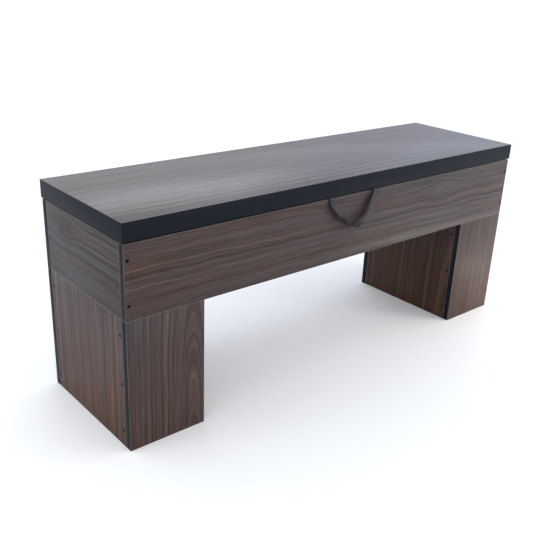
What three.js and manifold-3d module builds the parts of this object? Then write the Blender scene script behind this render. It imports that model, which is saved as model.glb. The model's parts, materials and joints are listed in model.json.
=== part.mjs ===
// Storage bench: a lidded box carried on two hollow box legs. The lid turns on two butt
// hinges along the back, is held open by two gas struts and is lifted by a ribbon pull.
// Millimetres. +X runs along the seat, +Y to the back, +Z up, origin on the floor in the middle.
import * as THREE from 'three';
import { mergeVertices } from 'three/addons/utils/BufferGeometryUtils.js';
import Module from 'manifold-3d';

const wasm = await Module();
wasm.setup();

// ---- driving sizes: boards, box and legs
const BOX_LENGTH = 1112;
const BOX_DEPTH = 310;
const BOARD = 15;
const LEG_HEIGHT = 268;
const LEG_WIDTH = 166;
const BOX_WALL_HEIGHT = 143.5;

// ---- lid
const LID_BOARD = 18;
const LID_BAND = 1.5;
const LID_GAP = 2.5;

// ---- wood screws: countersunk, head flush with the board
const SCREW_HEAD_RADIUS = 3.7;
const SCREW_HEAD_HEIGHT = 2.6;
const SCREW_HEAD_LAND = 0.4;
const SCREW_SHANK_RADIUS = 2;
const SCREW_TIP = 6;
const SCREW_CLEARANCE = 0.15;
const PANEL_SCREW_LENGTH = 40;
const LEG_FIXING_SCREW_LENGTH = 45;
const BOX_SCREW_FROM_TOP = 30.5;
const BOX_SCREW_FROM_BOTTOM = 29;
const LEG_SCREW_FROM_TOP = 34;
const LEG_SCREW_FROM_FLOOR = 34;

// ---- butt hinges
const HINGE_LENGTH = 76;
const HINGE_INSET = 150;
const HINGE_LEAF = 1.1;
const HINGE_KNUCKLES = 5;
const HINGE_KNUCKLE_RADIUS = 2.8;
const HINGE_KNUCKLE_GAP = 0.3;
const HINGE_PIN_RADIUS = 1.4;
const HINGE_PIN_CLEARANCE = 0.1;
const HINGE_PIN_DOME = 0.6;
const HINGE_BACK_CLEARANCE = 0.5;
const HINGE_LEAF_SETBACK = 1;
const HINGE_SCREW_RADIUS = 2.1;
const HINGE_SCREWS = 3;

// ---- gas struts
const STRUT_FROM_END_PANEL = 12;
const STRUT_FOOT_FROM_BACK_PANEL = 12.4;
const STRUT_FOOT_BELOW_HINGE = 30;
const STRUT_HEAD_AHEAD_OF_HINGE = 175;
const STRUT_HEAD_BELOW_HINGE = 12;
const STRUT_TUBE_RADIUS = 7.5;
const STRUT_TUBE_START = 12;
const STRUT_TUBE_END_SETBACK = 26;
const STRUT_TUBE_SHOULDER = 2;
const STRUT_ROD_RADIUS = 3;
const STRUT_ROD_CLEARANCE = 0.1;
const STRUT_ROD_INSERTION = 70;
const STRUT_BORE_SPARE = 8;
const STRUT_SOCKET_RADIUS = 6.5;
const STRUT_SOCKET_WIDTH = 9;
const STRUT_SOCKET_NECK_RADIUS = 4.2;
const STRUT_SOCKET_NECK = 15;
const STRUT_BALL_RADIUS = 3.2;
const STRUT_BALL_STEPS = 6;
const STRUT_BALL_CLEARANCE = 0.15;
const STRUT_STUD_RADIUS = 2.2;
const STRUT_STUD_COLLAR_RADIUS = 4;
const STRUT_STUD_COLLAR = 1;
const STRUT_OPEN_PIVOT_GAP = 0.4;
const BRACKET_PLATE = 1.5;
const BRACKET_WIDTH = 22;
const BRACKET_HEIGHT = 40;
const BRACKET_SCREW_RADIUS = 2.1;
const BRACKET_SCREW_FROM_END = 6;
const BRACKET_CHEEK_FROM_SOCKET = 5;
const BRACKET_CHEEK_BELOW_STUD = 8;
const BRACKET_FOOT_REACH = 4;

// ---- ribbon pull
const RIBBON_WIDTH = 20;
const RIBBON_THICKNESS = 1.2;
const RIBBON_LEFT_X = -72;
const RIBBON_RIGHT_X = 57;
const RIBBON_DROP = 70;
const RIBBON_TOP_GAP = 0.4;
const RIBBON_PANEL_GAP = 0.4;
const RIBBON_TILT = THREE.MathUtils.degToRad(62);
const RIBBON_TWIST_LENGTH = 0.24;
const RIBBON_MOUTH_FLARE = 1.22;
const RIBBON_STATIONS = 24;
// where the loop runs, as shares of its span and of its drop
const RIBBON_COURSE = [
  [0, 0], [0.13, 0.35], [0.27, 0.72], [0.5, 1], [0.76, 0.84], [0.92, 0.48], [1, 0],
];
const CLAMP_WIDTH = 26;
const CLAMP_DEPTH = 15;
const CLAMP_PLATE = 1.5;
const CLAMP_FROM_PANEL = 2;
const CLAMP_SCREW_RADIUS = 2.1;

// ---- lid bumpers
const BUMPER_RADIUS = 4.5;
const BUMPER_INSET = 45;
const BUMPER_RELIEF = 0.2;
const BUMPER_SHOULDER = 0.6;
const BUMPER_CROWN = 0.75;

// ---- modelling: facets round a screw and a tube, how far joined and cutting shapes run on,
// and the distance under which two points are one
const ROUND = 10;
const TUBE_ROUND = 16;
const RUN_ON = 1;
const WELD = 1e-4;

const SIDES = [
  { name: 'left', sign: -1 },
  { name: 'right', sign: 1 },
];
const FACES = [
  { face: 'front', facing: -1 },
  { face: 'back', facing: 1 },
];

// ---- places worked out from the sizes
const HALF_LENGTH = BOX_LENGTH / 2;
const HALF_DEPTH = BOX_DEPTH / 2;
const INNER_HALF_LENGTH = HALF_LENGTH - BOARD;
const INNER_HALF_DEPTH = HALF_DEPTH - BOARD;
const BOX_TOP = LEG_HEIGHT + BOX_WALL_HEIGHT;
const LID_UNDERSIDE = BOX_TOP + LID_GAP;
const LID_THICKNESS = 2 * LID_BOARD;
const HINGE_AXIS_Y = HALF_DEPTH + LID_BAND + HINGE_BACK_CLEARANCE + HINGE_KNUCKLE_RADIUS;
const HINGE_AXIS_Z = BOX_TOP + LID_GAP / 2;
const RAIL_LENGTH = LEG_WIDTH - 2 * BOARD;
const STRUT_FOOT = new THREE.Vector2(
  INNER_HALF_DEPTH - STRUT_FOOT_FROM_BACK_PANEL,
  HINGE_AXIS_Z - STRUT_FOOT_BELOW_HINGE,
);
const STRUT_HEAD = new THREE.Vector2(
  HINGE_AXIS_Y - STRUT_HEAD_AHEAD_OF_HINGE,
  HINGE_AXIS_Z - STRUT_HEAD_BELOW_HINGE,
);
const STRUT_LENGTH = STRUT_FOOT.distanceTo(STRUT_HEAD);
const STRUT_RISE = Math.atan2(STRUT_HEAD.y - STRUT_FOOT.y, STRUT_FOOT.x - STRUT_HEAD.x);
const STRUT_TUBE_END = STRUT_LENGTH - STRUT_TUBE_END_SETBACK;

// ---- materials: one finish per kind of part, a fresh copy for each mesh
const FINISHES = {
  walnut: { color: 0x57473f, roughness: 0.45, metalness: 0 },
  core: { color: 0x8a7355, roughness: 0.85, metalness: 0 },
  band: { color: 0x23252a, roughness: 0.5, metalness: 0 },
  steel: { color: 0xb4b6b8, roughness: 0.35, metalness: 1 },
  blackSteel: { color: 0x17181a, roughness: 0.4, metalness: 0.6 },
  plastic: { color: 0x1c1c1e, roughness: 0.5, metalness: 0 },
  ribbon: { color: 0x3f363b, roughness: 0.85, metalness: 0 },
  rubber: { color: 0x2a2a2b, roughness: 0.8, metalness: 0 },
};

function piece(group, name, geometry, finish) {
  const mesh = new THREE.Mesh(geometry, new THREE.MeshStandardMaterial(FINISHES[finish]));
  mesh.name = name;
  group.add(mesh);
  return mesh;
}

// ---- closed solids: joining and cutting
function toSolid(geometry) {
  const bare = geometry.clone();
  bare.deleteAttribute('normal');
  bare.deleteAttribute('uv');
  const merged = mergeVertices(bare, WELD);
  return new wasm.Manifold(new wasm.Mesh({
    numProp: 3,
    vertProperties: new Float32Array(merged.attributes.position.array),
    triVerts: new Uint32Array(merged.index.array),
  }));
}

function toGeometry(solid) {
  const mesh = solid.getMesh();
  const geometry = new THREE.BufferGeometry();
  geometry.setAttribute('position', new THREE.BufferAttribute(mesh.vertProperties, 3));
  geometry.setIndex(new THREE.BufferAttribute(mesh.triVerts, 1));
  geometry.computeVertexNormals();
  return geometry;
}

function combine(base, added, removed) {
  let solid = toSolid(base);
  for (const geometry of added) solid = solid.add(toSolid(geometry));
  for (const geometry of removed) solid = solid.subtract(toSolid(geometry));
  return toGeometry(solid);
}

// ---- basic shapes
function block(sizeX, sizeY, sizeZ, x = 0, y = 0, z = 0) {
  return new THREE.BoxGeometry(sizeX, sizeY, sizeZ).translate(x, y, z);
}

// A turned shape. The profile gives [radius, height] pairs up the turning axis, which is
// laid along the direction given, with the foot of the profile at the origin.
function turned(profile, direction, segments = ROUND) {
  const points = profile.map(([radius, height]) => new THREE.Vector2(radius, height));
  const up = new THREE.Vector3(0, 1, 0);
  const turn = new THREE.Quaternion().setFromUnitVectors(up, direction.clone().normalize());
  return new THREE.LatheGeometry(points, segments).applyQuaternion(turn);
}

function roundBar(radius, length, direction, segments = ROUND) {
  return turned([[0, 0], [radius, 0], [radius, length], [0, length]], direction, segments);
}

const ALONG_X = new THREE.Vector3(1, 0, 0);
const ALONG_Y = new THREE.Vector3(0, 1, 0);
const ALONG_Z = new THREE.Vector3(0, 0, 1);

// ---- wood screws and the holes that take them
function screwProfile(length, grow) {
  const head = SCREW_HEAD_RADIUS + grow;
  const shank = SCREW_SHANK_RADIUS + grow;
  return [
    [0, 0],
    [head, 0],
    [head, SCREW_HEAD_LAND + grow],
    [shank, SCREW_HEAD_HEIGHT + grow],
    [shank, length - SCREW_TIP + grow],
    [0, length + grow],
  ];
}

function screwHole({ at, into, length }) {
  const [, headEdge, ...rest] = screwProfile(length, SCREW_CLEARANCE);
  const mouth = [[0, -RUN_ON], [headEdge[0], -RUN_ON]];
  return turned([...mouth, ...rest], into).translate(at.x, at.y, at.z);
}

// Two screws at each upright corner of the box, through the long panels into the end panels.
function boxScrews() {
  const heights = [BOX_TOP - BOX_SCREW_FROM_TOP, LEG_HEIGHT + BOX_SCREW_FROM_BOTTOM];
  const screws = [];
  for (const { name, sign } of SIDES) {
    for (const { face, facing } of FACES) {
      heights.forEach((height, row) => screws.push({
        name: `box_screw_${name}_${face}_${row + 1}`,
        at: new THREE.Vector3(sign * (HALF_LENGTH - BOARD / 2), facing * HALF_DEPTH, height),
        into: new THREE.Vector3(0, -facing, 0),
        length: PANEL_SCREW_LENGTH,
      }));
    }
  }
  return screws;
}

// Three screws in a column at each corner of a leg, through its side panels into its rails.
function legPanelScrews() {
  const low = LEG_SCREW_FROM_FLOOR;
  const high = LEG_HEIGHT - LEG_SCREW_FROM_TOP;
  const heights = [low, (low + high) / 2, high];
  const screws = [];
  for (const { sign } of SIDES) {
    const faces = [[HALF_LENGTH, -1], [HALF_LENGTH - LEG_WIDTH, 1]];
    for (const [distance, inward] of faces) {
      for (const { facing } of FACES) {
        for (const height of heights) {
          screws.push({
            at: new THREE.Vector3(
              sign * distance, facing * (INNER_HALF_DEPTH - BOARD / 2), height,
            ),
            into: new THREE.Vector3(sign * inward, 0, 0),
            length: PANEL_SCREW_LENGTH,
          });
        }
      }
    }
  }
  return screws;
}

// Four screws in each leg, down through the floor of the box into the rails' top edges.
function legFixingScrews() {
  const screws = [];
  for (const { name, sign } of SIDES) {
    for (const { face, facing } of FACES) {
      for (const third of [1, 2]) {
        screws.push({
          name: `leg_screw_${name}_${face}_${third}`,
          at: new THREE.Vector3(
            sign * (INNER_HALF_LENGTH - RAIL_LENGTH * third / 3),
            facing * (INNER_HALF_DEPTH - BOARD / 2),
            LEG_HEIGHT + BOARD,
          ),
          into: new THREE.Vector3(0, 0, -1),
          length: LEG_FIXING_SCREW_LENGTH,
        });
      }
    }
  }
  return screws;
}

const BOX_SCREWS = boxScrews();
const LEG_FIXING_SCREWS = legFixingScrews();
const SCREW_HOLES = [...BOX_SCREWS, ...LEG_FIXING_SCREWS, ...legPanelScrews()].map(screwHole);

function addScrews(group, screws) {
  for (const { name, at, into, length } of screws) {
    const screw = piece(group, name, turned(screwProfile(length, 0), into), 'blackSteel');
    screw.position.copy(at);
  }
}

// ---- boards: a plain board, drilled wherever a screw crosses it
function addBoard(group, name, size, centre, finish = 'walnut') {
  const room = new THREE.Box3().setFromCenterAndSize(centre, size);
  const holes = SCREW_HOLES.filter((hole) => {
    hole.computeBoundingBox();
    return hole.boundingBox.intersectsBox(room);
  });
  const back = centre.clone().negate();
  const local = holes.map((hole) => hole.clone().translate(back.x, back.y, back.z));
  const board = combine(block(size.x, size.y, size.z), [], local);
  piece(group, name, board, finish).position.copy(centre);
}

function addBox(bench) {
  const middle = LEG_HEIGHT + BOX_WALL_HEIGHT / 2;
  for (const { face, facing } of FACES) {
    addBoard(
      bench, `${face}_panel`,
      new THREE.Vector3(BOX_LENGTH, BOARD, BOX_WALL_HEIGHT),
      new THREE.Vector3(0, facing * (HALF_DEPTH - BOARD / 2), middle),
    );
  }
  for (const { name, sign } of SIDES) {
    addBoard(
      bench, `${name}_end_panel`,
      new THREE.Vector3(BOARD, 2 * INNER_HALF_DEPTH, BOX_WALL_HEIGHT),
      new THREE.Vector3(sign * (HALF_LENGTH - BOARD / 2), 0, middle),
    );
  }
  addBoard(
    bench, 'bottom_panel',
    new THREE.Vector3(2 * INNER_HALF_LENGTH, 2 * INNER_HALF_DEPTH, BOARD),
    new THREE.Vector3(0, 0, LEG_HEIGHT + BOARD / 2),
  );
}

// A leg is a hollow box: two side panels, two cross rails screwed between them and two
// covers fixed over the rails' outer faces, so the covers hide the side panels' edges.
function addLeg(bench, { name, sign }) {
  const middle = LEG_HEIGHT / 2;
  const centreX = sign * (HALF_LENGTH - LEG_WIDTH / 2);
  const panels = [['outer', HALF_LENGTH - BOARD / 2], ['inner', HALF_LENGTH - LEG_WIDTH + BOARD / 2]];
  for (const [place, distance] of panels) {
    addBoard(
      bench, `${name}_leg_${place}_panel`,
      new THREE.Vector3(BOARD, 2 * INNER_HALF_DEPTH, LEG_HEIGHT),
      new THREE.Vector3(sign * distance, 0, middle),
    );
  }
  for (const { face, facing } of FACES) {
    addBoard(
      bench, `${name}_leg_${face}_cover`,
      new THREE.Vector3(LEG_WIDTH, BOARD, LEG_HEIGHT),
      new THREE.Vector3(centreX, facing * (HALF_DEPTH - BOARD / 2), middle),
    );
    addBoard(
      bench, `${name}_leg_${face}_rail`,
      new THREE.Vector3(RAIL_LENGTH, BOARD, LEG_HEIGHT),
      new THREE.Vector3(centreX, facing * (INNER_HALF_DEPTH - BOARD / 2), middle),
      'core',
    );
  }
}

// ---- lid: two boards laid on each other, edged all round with one deep black band
function addLid(bench) {
  const lid = new THREE.Group();
  lid.position.z = LID_UNDERSIDE;
  bench.add(lid);
  [['lid_base_board', 'core'], ['lid_top_board', 'walnut']].forEach(([name, finish], layer) => {
    const board = piece(lid, name, block(BOX_LENGTH, BOX_DEPTH, LID_BOARD), finish);
    board.position.z = LID_BOARD * (layer + 0.5);
  });
  const bandMiddle = LID_THICKNESS / 2;
  for (const { face, facing } of FACES) {
    const band = piece(
      lid, `lid_${face}_band`, block(BOX_LENGTH + 2 * LID_BAND, LID_BAND, LID_THICKNESS), 'band',
    );
    band.position.set(0, facing * (HALF_DEPTH + LID_BAND / 2), bandMiddle);
  }
  for (const { name, sign } of SIDES) {
    const band = piece(lid, `lid_${name}_band`, block(LID_BAND, BOX_DEPTH, LID_THICKNESS), 'band');
    band.position.set(sign * (HALF_LENGTH + LID_BAND / 2), 0, bandMiddle);
  }
}

// ---- butt hinges: the knuckles take turns along the pin, the outer ones on the fixed leaf
function hingeLeaf(fixed) {
  const leafReach = HINGE_AXIS_Y - INNER_HALF_DEPTH - HINGE_LEAF_SETBACK;
  const plateFront = -leafReach;
  const plateBack = -(HINGE_KNUCKLE_RADIUS + HINGE_BACK_CLEARANCE);
  const plateDepth = plateBack - plateFront;
  const plateZ = (fixed ? -1 : 1) * (LID_GAP - HINGE_LEAF) / 2;
  const plate = block(
    HINGE_LENGTH, plateDepth, HINGE_LEAF, 0, (plateFront + plateBack) / 2, plateZ,
  );
  const pitch = HINGE_LENGTH / HINGE_KNUCKLES;
  const knuckleLength = pitch - HINGE_KNUCKLE_GAP;
  const added = [];
  for (let i = fixed ? 0 : 1; i < HINGE_KNUCKLES; i += 2) {
    const start = -HINGE_LENGTH / 2 + i * pitch + HINGE_KNUCKLE_GAP / 2;
    added.push(
      roundBar(HINGE_KNUCKLE_RADIUS, knuckleLength, ALONG_X, TUBE_ROUND).translate(start, 0, 0),
      block(
        knuckleLength, -plateBack + RUN_ON, HINGE_LEAF,
        start + knuckleLength / 2, (plateBack - RUN_ON) / 2, plateZ,
      ),
    );
  }
  const bore = roundBar(
    HINGE_PIN_RADIUS + HINGE_PIN_CLEARANCE, HINGE_LENGTH + 2 * RUN_ON, ALONG_X, TUBE_ROUND,
  ).translate(-HINGE_LENGTH / 2 - RUN_ON, 0, 0);
  const removed = [bore];
  for (let i = 0; i < HINGE_SCREWS; i += 1) {
    const x = ((i + 0.5) / HINGE_SCREWS - 0.5) * HINGE_LENGTH;
    removed.push(
      roundBar(HINGE_SCREW_RADIUS, LID_GAP, ALONG_Z)
        .translate(x, (plateFront + plateBack) / 2, plateZ - LID_GAP / 2),
    );
  }
  return combine(plate, added, removed);
}

function hingePin() {
  const radius = HINGE_PIN_RADIUS;
  const halfway = Math.SQRT1_2;
  const profile = [
    [0, -HINGE_PIN_DOME],
    [radius * halfway, -HINGE_PIN_DOME * halfway],
    [radius, 0],
    [radius, HINGE_LENGTH],
    [radius * halfway, HINGE_LENGTH + HINGE_PIN_DOME * halfway],
    [0, HINGE_LENGTH + HINGE_PIN_DOME],
  ];
  return turned(profile, ALONG_X, TUBE_ROUND).translate(-HINGE_LENGTH / 2, 0, 0);
}

function addHinge(bench, { name, sign }) {
  const hinge = new THREE.Group();
  hinge.position.set(sign * (HALF_LENGTH - HINGE_INSET), HINGE_AXIS_Y, HINGE_AXIS_Z);
  bench.add(hinge);
  piece(hinge, `${name}_hinge_fixed_leaf`, hingeLeaf(true), 'steel');
  piece(hinge, `${name}_hinge_moving_leaf`, hingeLeaf(false), 'steel');
  piece(hinge, `${name}_hinge_pin`, hingePin(), 'steel');
}

// ---- gas struts: a tube and a rod with a ball socket at each far end
function ballSocket(outward) {
  const half = STRUT_SOCKET_WIDTH / 2;
  const cupRadius = STRUT_BALL_RADIUS + STRUT_BALL_CLEARANCE;
  const cupLength = half + RUN_ON + cupRadius;
  const body = roundBar(STRUT_SOCKET_RADIUS, STRUT_SOCKET_WIDTH, ALONG_X, TUBE_ROUND)
    .translate(-half, 0, 0);
  const cup = roundBar(cupRadius, cupLength, ALONG_X, TUBE_ROUND)
    .translate(outward > 0 ? -cupRadius : -half - RUN_ON, 0, 0);
  return { body, cup };
}

// The tube lies along -Y of its group, its foot socket at the origin.
function strutCylinder(outward) {
  const { body, cup } = ballSocket(outward);
  const down = new THREE.Vector3(0, -1, 0);
  const neck = roundBar(STRUT_SOCKET_NECK_RADIUS, STRUT_TUBE_START + RUN_ON, down, TUBE_ROUND);
  const shoulder = STRUT_TUBE_SHOULDER;
  const tubeLength = STRUT_TUBE_END - STRUT_TUBE_START;
  const tube = turned([
    [0, 0],
    [STRUT_TUBE_RADIUS - shoulder, 0],
    [STRUT_TUBE_RADIUS, shoulder],
    [STRUT_TUBE_RADIUS, tubeLength - shoulder],
    [STRUT_TUBE_RADIUS - shoulder, tubeLength],
    [0, tubeLength],
  ], down, TUBE_ROUND).translate(0, -STRUT_TUBE_START, 0);
  const boreDepth = STRUT_ROD_INSERTION + STRUT_BORE_SPARE;
  const bore = roundBar(
    STRUT_ROD_RADIUS + STRUT_ROD_CLEARANCE, boreDepth + RUN_ON, ALONG_Y, TUBE_ROUND,
  ).translate(0, -STRUT_TUBE_END - RUN_ON, 0);
  return combine(body, [neck, tube], [cup, bore]);
}

function strutRod() {
  const half = STRUT_SOCKET_WIDTH / 2;
  const socket = roundBar(STRUT_SOCKET_RADIUS, STRUT_SOCKET_WIDTH, ALONG_X, TUBE_ROUND)
    .translate(-half, -STRUT_LENGTH, 0);
  const neck = roundBar(STRUT_SOCKET_NECK_RADIUS, STRUT_SOCKET_NECK, ALONG_Y, TUBE_ROUND)
    .translate(0, -STRUT_LENGTH, 0);
  const rodLength = STRUT_TUBE_END_SETBACK + STRUT_ROD_INSERTION - RUN_ON;
  const rod = roundBar(STRUT_ROD_RADIUS, rodLength, ALONG_Y, TUBE_ROUND)
    .translate(0, -STRUT_LENGTH + RUN_ON, 0);
  return combine(socket, [neck, rod], []);
}

// A stud with a collar, a waist and a ball end, standing up from the origin.
function ballStud(length) {
  const profile = [
    [0, 0],
    [STRUT_STUD_COLLAR_RADIUS, 0],
    [STRUT_STUD_COLLAR_RADIUS, STRUT_STUD_COLLAR],
    [STRUT_STUD_RADIUS, STRUT_STUD_COLLAR],
  ];
  const ballCentre = length - STRUT_BALL_RADIUS;
  const waist = Math.asin(STRUT_STUD_RADIUS / STRUT_BALL_RADIUS);
  for (let i = 0; i < STRUT_BALL_STEPS; i += 1) {
    const angle = (Math.PI - waist) * (1 - i / STRUT_BALL_STEPS);
    const radius = STRUT_BALL_RADIUS * Math.sin(angle);
    profile.push([radius, ballCentre + STRUT_BALL_RADIUS * Math.cos(angle)]);
  }
  profile.push([0, length]);
  return profile;
}

// The box bracket: a plate on the end panel with a stud that reaches into the foot socket.
function boxBracket(inward) {
  const plate = block(BRACKET_PLATE, BRACKET_WIDTH, BRACKET_HEIGHT, inward * BRACKET_PLATE / 2);
  const reach = STRUT_FROM_END_PANEL + STRUT_BALL_RADIUS - BRACKET_PLATE + RUN_ON;
  const stud = turned(ballStud(reach), ALONG_X.clone().multiplyScalar(inward), TUBE_ROUND)
    .translate(inward * (BRACKET_PLATE - RUN_ON), 0, 0);
  const holes = [-1, 1].map((end) => (
    roundBar(BRACKET_SCREW_RADIUS, 3 * BRACKET_PLATE, ALONG_X)
      .translate(-1.5 * BRACKET_PLATE, 0, end * (BRACKET_HEIGHT / 2 - BRACKET_SCREW_FROM_END))
  ));
  return combine(plate, [stud], holes);
}

// The lid bracket: an angle under the lid. Its stud stops just short of the rod's socket.
function lidBracket(inward) {
  const socketFace = STRUT_SOCKET_WIDTH / 2;
  const cheekNear = socketFace + BRACKET_CHEEK_FROM_SOCKET;
  const top = LID_UNDERSIDE - STRUT_HEAD.y;
  const cheekHeight = top + BRACKET_CHEEK_BELOW_STUD;
  const cheek = block(
    BRACKET_PLATE, BRACKET_WIDTH, cheekHeight,
    inward * (cheekNear + BRACKET_PLATE / 2), 0, top - cheekHeight / 2,
  );
  const footNear = cheekNear + BRACKET_PLATE;
  const footFar = -(STRUT_FROM_END_PANEL - BRACKET_FOOT_REACH);
  const foot = block(
    footNear - footFar, BRACKET_WIDTH, BRACKET_PLATE,
    inward * (footNear + footFar) / 2, 0, top - BRACKET_PLATE / 2,
  );
  const studLength = BRACKET_CHEEK_FROM_SOCKET - STRUT_OPEN_PIVOT_GAP + RUN_ON;
  const stud = roundBar(STRUT_BALL_RADIUS, studLength, ALONG_X, TUBE_ROUND)
    .translate(inward > 0 ? cheekNear + RUN_ON - studLength : -cheekNear - RUN_ON, 0, 0);
  const holes = [-1, 1].map((end) => (
    roundBar(BRACKET_SCREW_RADIUS, 3 * BRACKET_PLATE, ALONG_Z)
      .translate(0, end * BRACKET_WIDTH / 4, top - 2 * BRACKET_PLATE)
  ));
  return combine(foot, [cheek, stud], holes);
}

function addStrut(bench, { name, sign }) {
  const planeX = sign * (INNER_HALF_LENGTH - STRUT_FROM_END_PANEL);
  const strut = new THREE.Group();
  strut.position.set(planeX, STRUT_FOOT.x, STRUT_FOOT.y);
  strut.rotation.x = -STRUT_RISE;
  bench.add(strut);
  piece(strut, `${name}_strut_cylinder`, strutCylinder(sign), 'blackSteel');
  piece(strut, `${name}_strut_rod`, strutRod(), 'steel');
  const box = piece(bench, `${name}_strut_box_bracket`, boxBracket(-sign), 'blackSteel');
  box.position.set(sign * INNER_HALF_LENGTH, STRUT_FOOT.x, STRUT_FOOT.y);
  const lid = piece(bench, `${name}_strut_lid_bracket`, lidBracket(-sign), 'blackSteel');
  lid.position.set(planeX, STRUT_HEAD.x, STRUT_HEAD.y);
}

// ---- ribbon pull: a loop of flat ribbon whose two ends are clamped under the lid
// The middle of the ribbon, seen from the front: down one side, across and up the other.
function ribbonPath() {
  const top = LID_UNDERSIDE - RIBBON_THICKNESS - RIBBON_TOP_GAP;
  const span = RIBBON_RIGHT_X - RIBBON_LEFT_X;
  const points = RIBBON_COURSE.map(([along, down]) => (
    new THREE.Vector3(RIBBON_LEFT_X + span * along, 0, top - RIBBON_DROP * down)
  ));
  return new THREE.CatmullRomCurve3(points, false, 'centripetal');
}

// A closed band skinned over its cross-sections, each a flat rectangle.
function skinBand(sections) {
  const positions = [];
  const index = [];
  for (const { centre, across, through } of sections) {
    for (const [a, t] of [[-1, -1], [1, -1], [1, 1], [-1, 1]]) {
      const corner = centre.clone().addScaledVector(across, a).addScaledVector(through, t);
      positions.push(corner.x, corner.y, corner.z);
    }
  }
  for (let i = 0; i < sections.length - 1; i += 1) {
    for (let side = 0; side < 4; side += 1) {
      const a = i * 4 + side;
      const b = i * 4 + (side + 1) % 4;
      index.push(a, b, b + 4, a, b + 4, a + 4);
    }
  }
  const last = (sections.length - 1) * 4;
  index.push(0, 3, 2, 0, 2, 1, last, last + 1, last + 2, last, last + 2, last + 3);
  const geometry = new THREE.BufferGeometry();
  geometry.setAttribute('position', new THREE.Float32BufferAttribute(positions, 3));
  geometry.setIndex(index);
  geometry.computeVertexNormals();
  return geometry;
}

// The ribbon leaves the lid flat against the front panel and turns edge-on as it hangs.
function ribbonLoop() {
  const path = ribbonPath();
  const level = new THREE.Vector3(1, 0, 0);
  const outward = new THREE.Vector3(0, -1, 0);
  const sections = [];
  for (let i = 0; i <= RIBBON_STATIONS; i += 1) {
    const t = i / RIBBON_STATIONS;
    const toEnd = Math.min(t, 1 - t);
    const twist = THREE.MathUtils.smoothstep(toEnd, 0, RIBBON_TWIST_LENGTH);
    const tangent = path.getTangentAt(t);
    const inPlane = new THREE.Vector3(-tangent.z, 0, tangent.x);
    const flat = level.clone().lerp(inPlane, twist).normalize();
    const tilt = RIBBON_TILT * twist;
    const across = flat.multiplyScalar(Math.cos(tilt)).addScaledVector(outward, -Math.sin(tilt));
    const through = new THREE.Vector3().crossVectors(tangent, across).normalize();
    const width = RIBBON_WIDTH * THREE.MathUtils.lerp(RIBBON_MOUTH_FLARE, 1, twist);
    const half = width / 2 * Math.sin(tilt) + RIBBON_THICKNESS / 2 * Math.cos(tilt);
    const centre = path.getPointAt(t);
    centre.y = -(HALF_DEPTH + RIBBON_PANEL_GAP + half);
    sections.push({
      centre,
      across: across.multiplyScalar(width / 2),
      through: through.multiplyScalar(RIBBON_THICKNESS / 2),
    });
  }
  return skinBand(sections);
}

function addPull(bench) {
  piece(bench, 'pull_ribbon', ribbonLoop(), 'ribbon');
  const tabFront = -(HALF_DEPTH + RIBBON_PANEL_GAP);
  const clampFront = -(INNER_HALF_DEPTH - CLAMP_FROM_PANEL);
  const tabBack = clampFront + CLAMP_DEPTH;
  const tabDepth = tabBack - tabFront;
  for (const [name, x] of [['left', RIBBON_LEFT_X], ['right', RIBBON_RIGHT_X]]) {
    const screw = (height) => (
      roundBar(CLAMP_SCREW_RADIUS, 3 * height, ALONG_Z).translate(0, 0, -1.5 * height)
    );
    const tabHole = screw(RIBBON_THICKNESS).translate(0, (tabDepth - CLAMP_DEPTH) / 2, 0);
    const tab = combine(
      block(RIBBON_WIDTH * RIBBON_MOUTH_FLARE, tabDepth, RIBBON_THICKNESS), [], [tabHole],
    );
    piece(bench, `pull_${name}_tab`, tab, 'ribbon')
      .position.set(x, (tabFront + tabBack) / 2, LID_UNDERSIDE - RIBBON_THICKNESS / 2);
    const clamp = combine(
      block(CLAMP_WIDTH, CLAMP_DEPTH, CLAMP_PLATE), [], [screw(CLAMP_PLATE)],
    );
    piece(bench, `pull_${name}_clamp`, clamp, 'blackSteel').position.set(
      x, clampFront + CLAMP_DEPTH / 2, LID_UNDERSIDE - RIBBON_THICKNESS - CLAMP_PLATE / 2,
    );
  }
}

// ---- lid bumpers: two rubber buttons on the front panel's top edge
function addBumpers(bench) {
  const height = LID_GAP - BUMPER_RELIEF;
  const profile = [
    [0, 0],
    [BUMPER_RADIUS, 0],
    [BUMPER_RADIUS, height * BUMPER_SHOULDER],
    [BUMPER_RADIUS * BUMPER_CROWN, height],
    [0, height],
  ];
  for (const { name, sign } of SIDES) {
    const bumper = piece(bench, `${name}_bumper`, turned(profile, ALONG_Z, TUBE_ROUND), 'rubber');
    bumper.position.set(
      sign * (HALF_LENGTH - BUMPER_INSET), -(HALF_DEPTH - BOARD / 2), BOX_TOP,
    );
  }
}

function buildBench() {
  const bench = new THREE.Group();
  addBox(bench);
  for (const side of SIDES) addLeg(bench, side);
  addScrews(bench, BOX_SCREWS);
  addScrews(bench, LEG_FIXING_SCREWS);
  addLid(bench);
  for (const side of SIDES) addHinge(bench, side);
  for (const side of SIDES) addStrut(bench, side);
  addPull(bench);
  addBumpers(bench);
  return bench;
}

export default buildBench();
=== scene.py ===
import json
import math
import random
from collections import namedtuple

import bmesh
import bpy
from mathutils import Matrix, Vector


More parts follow.
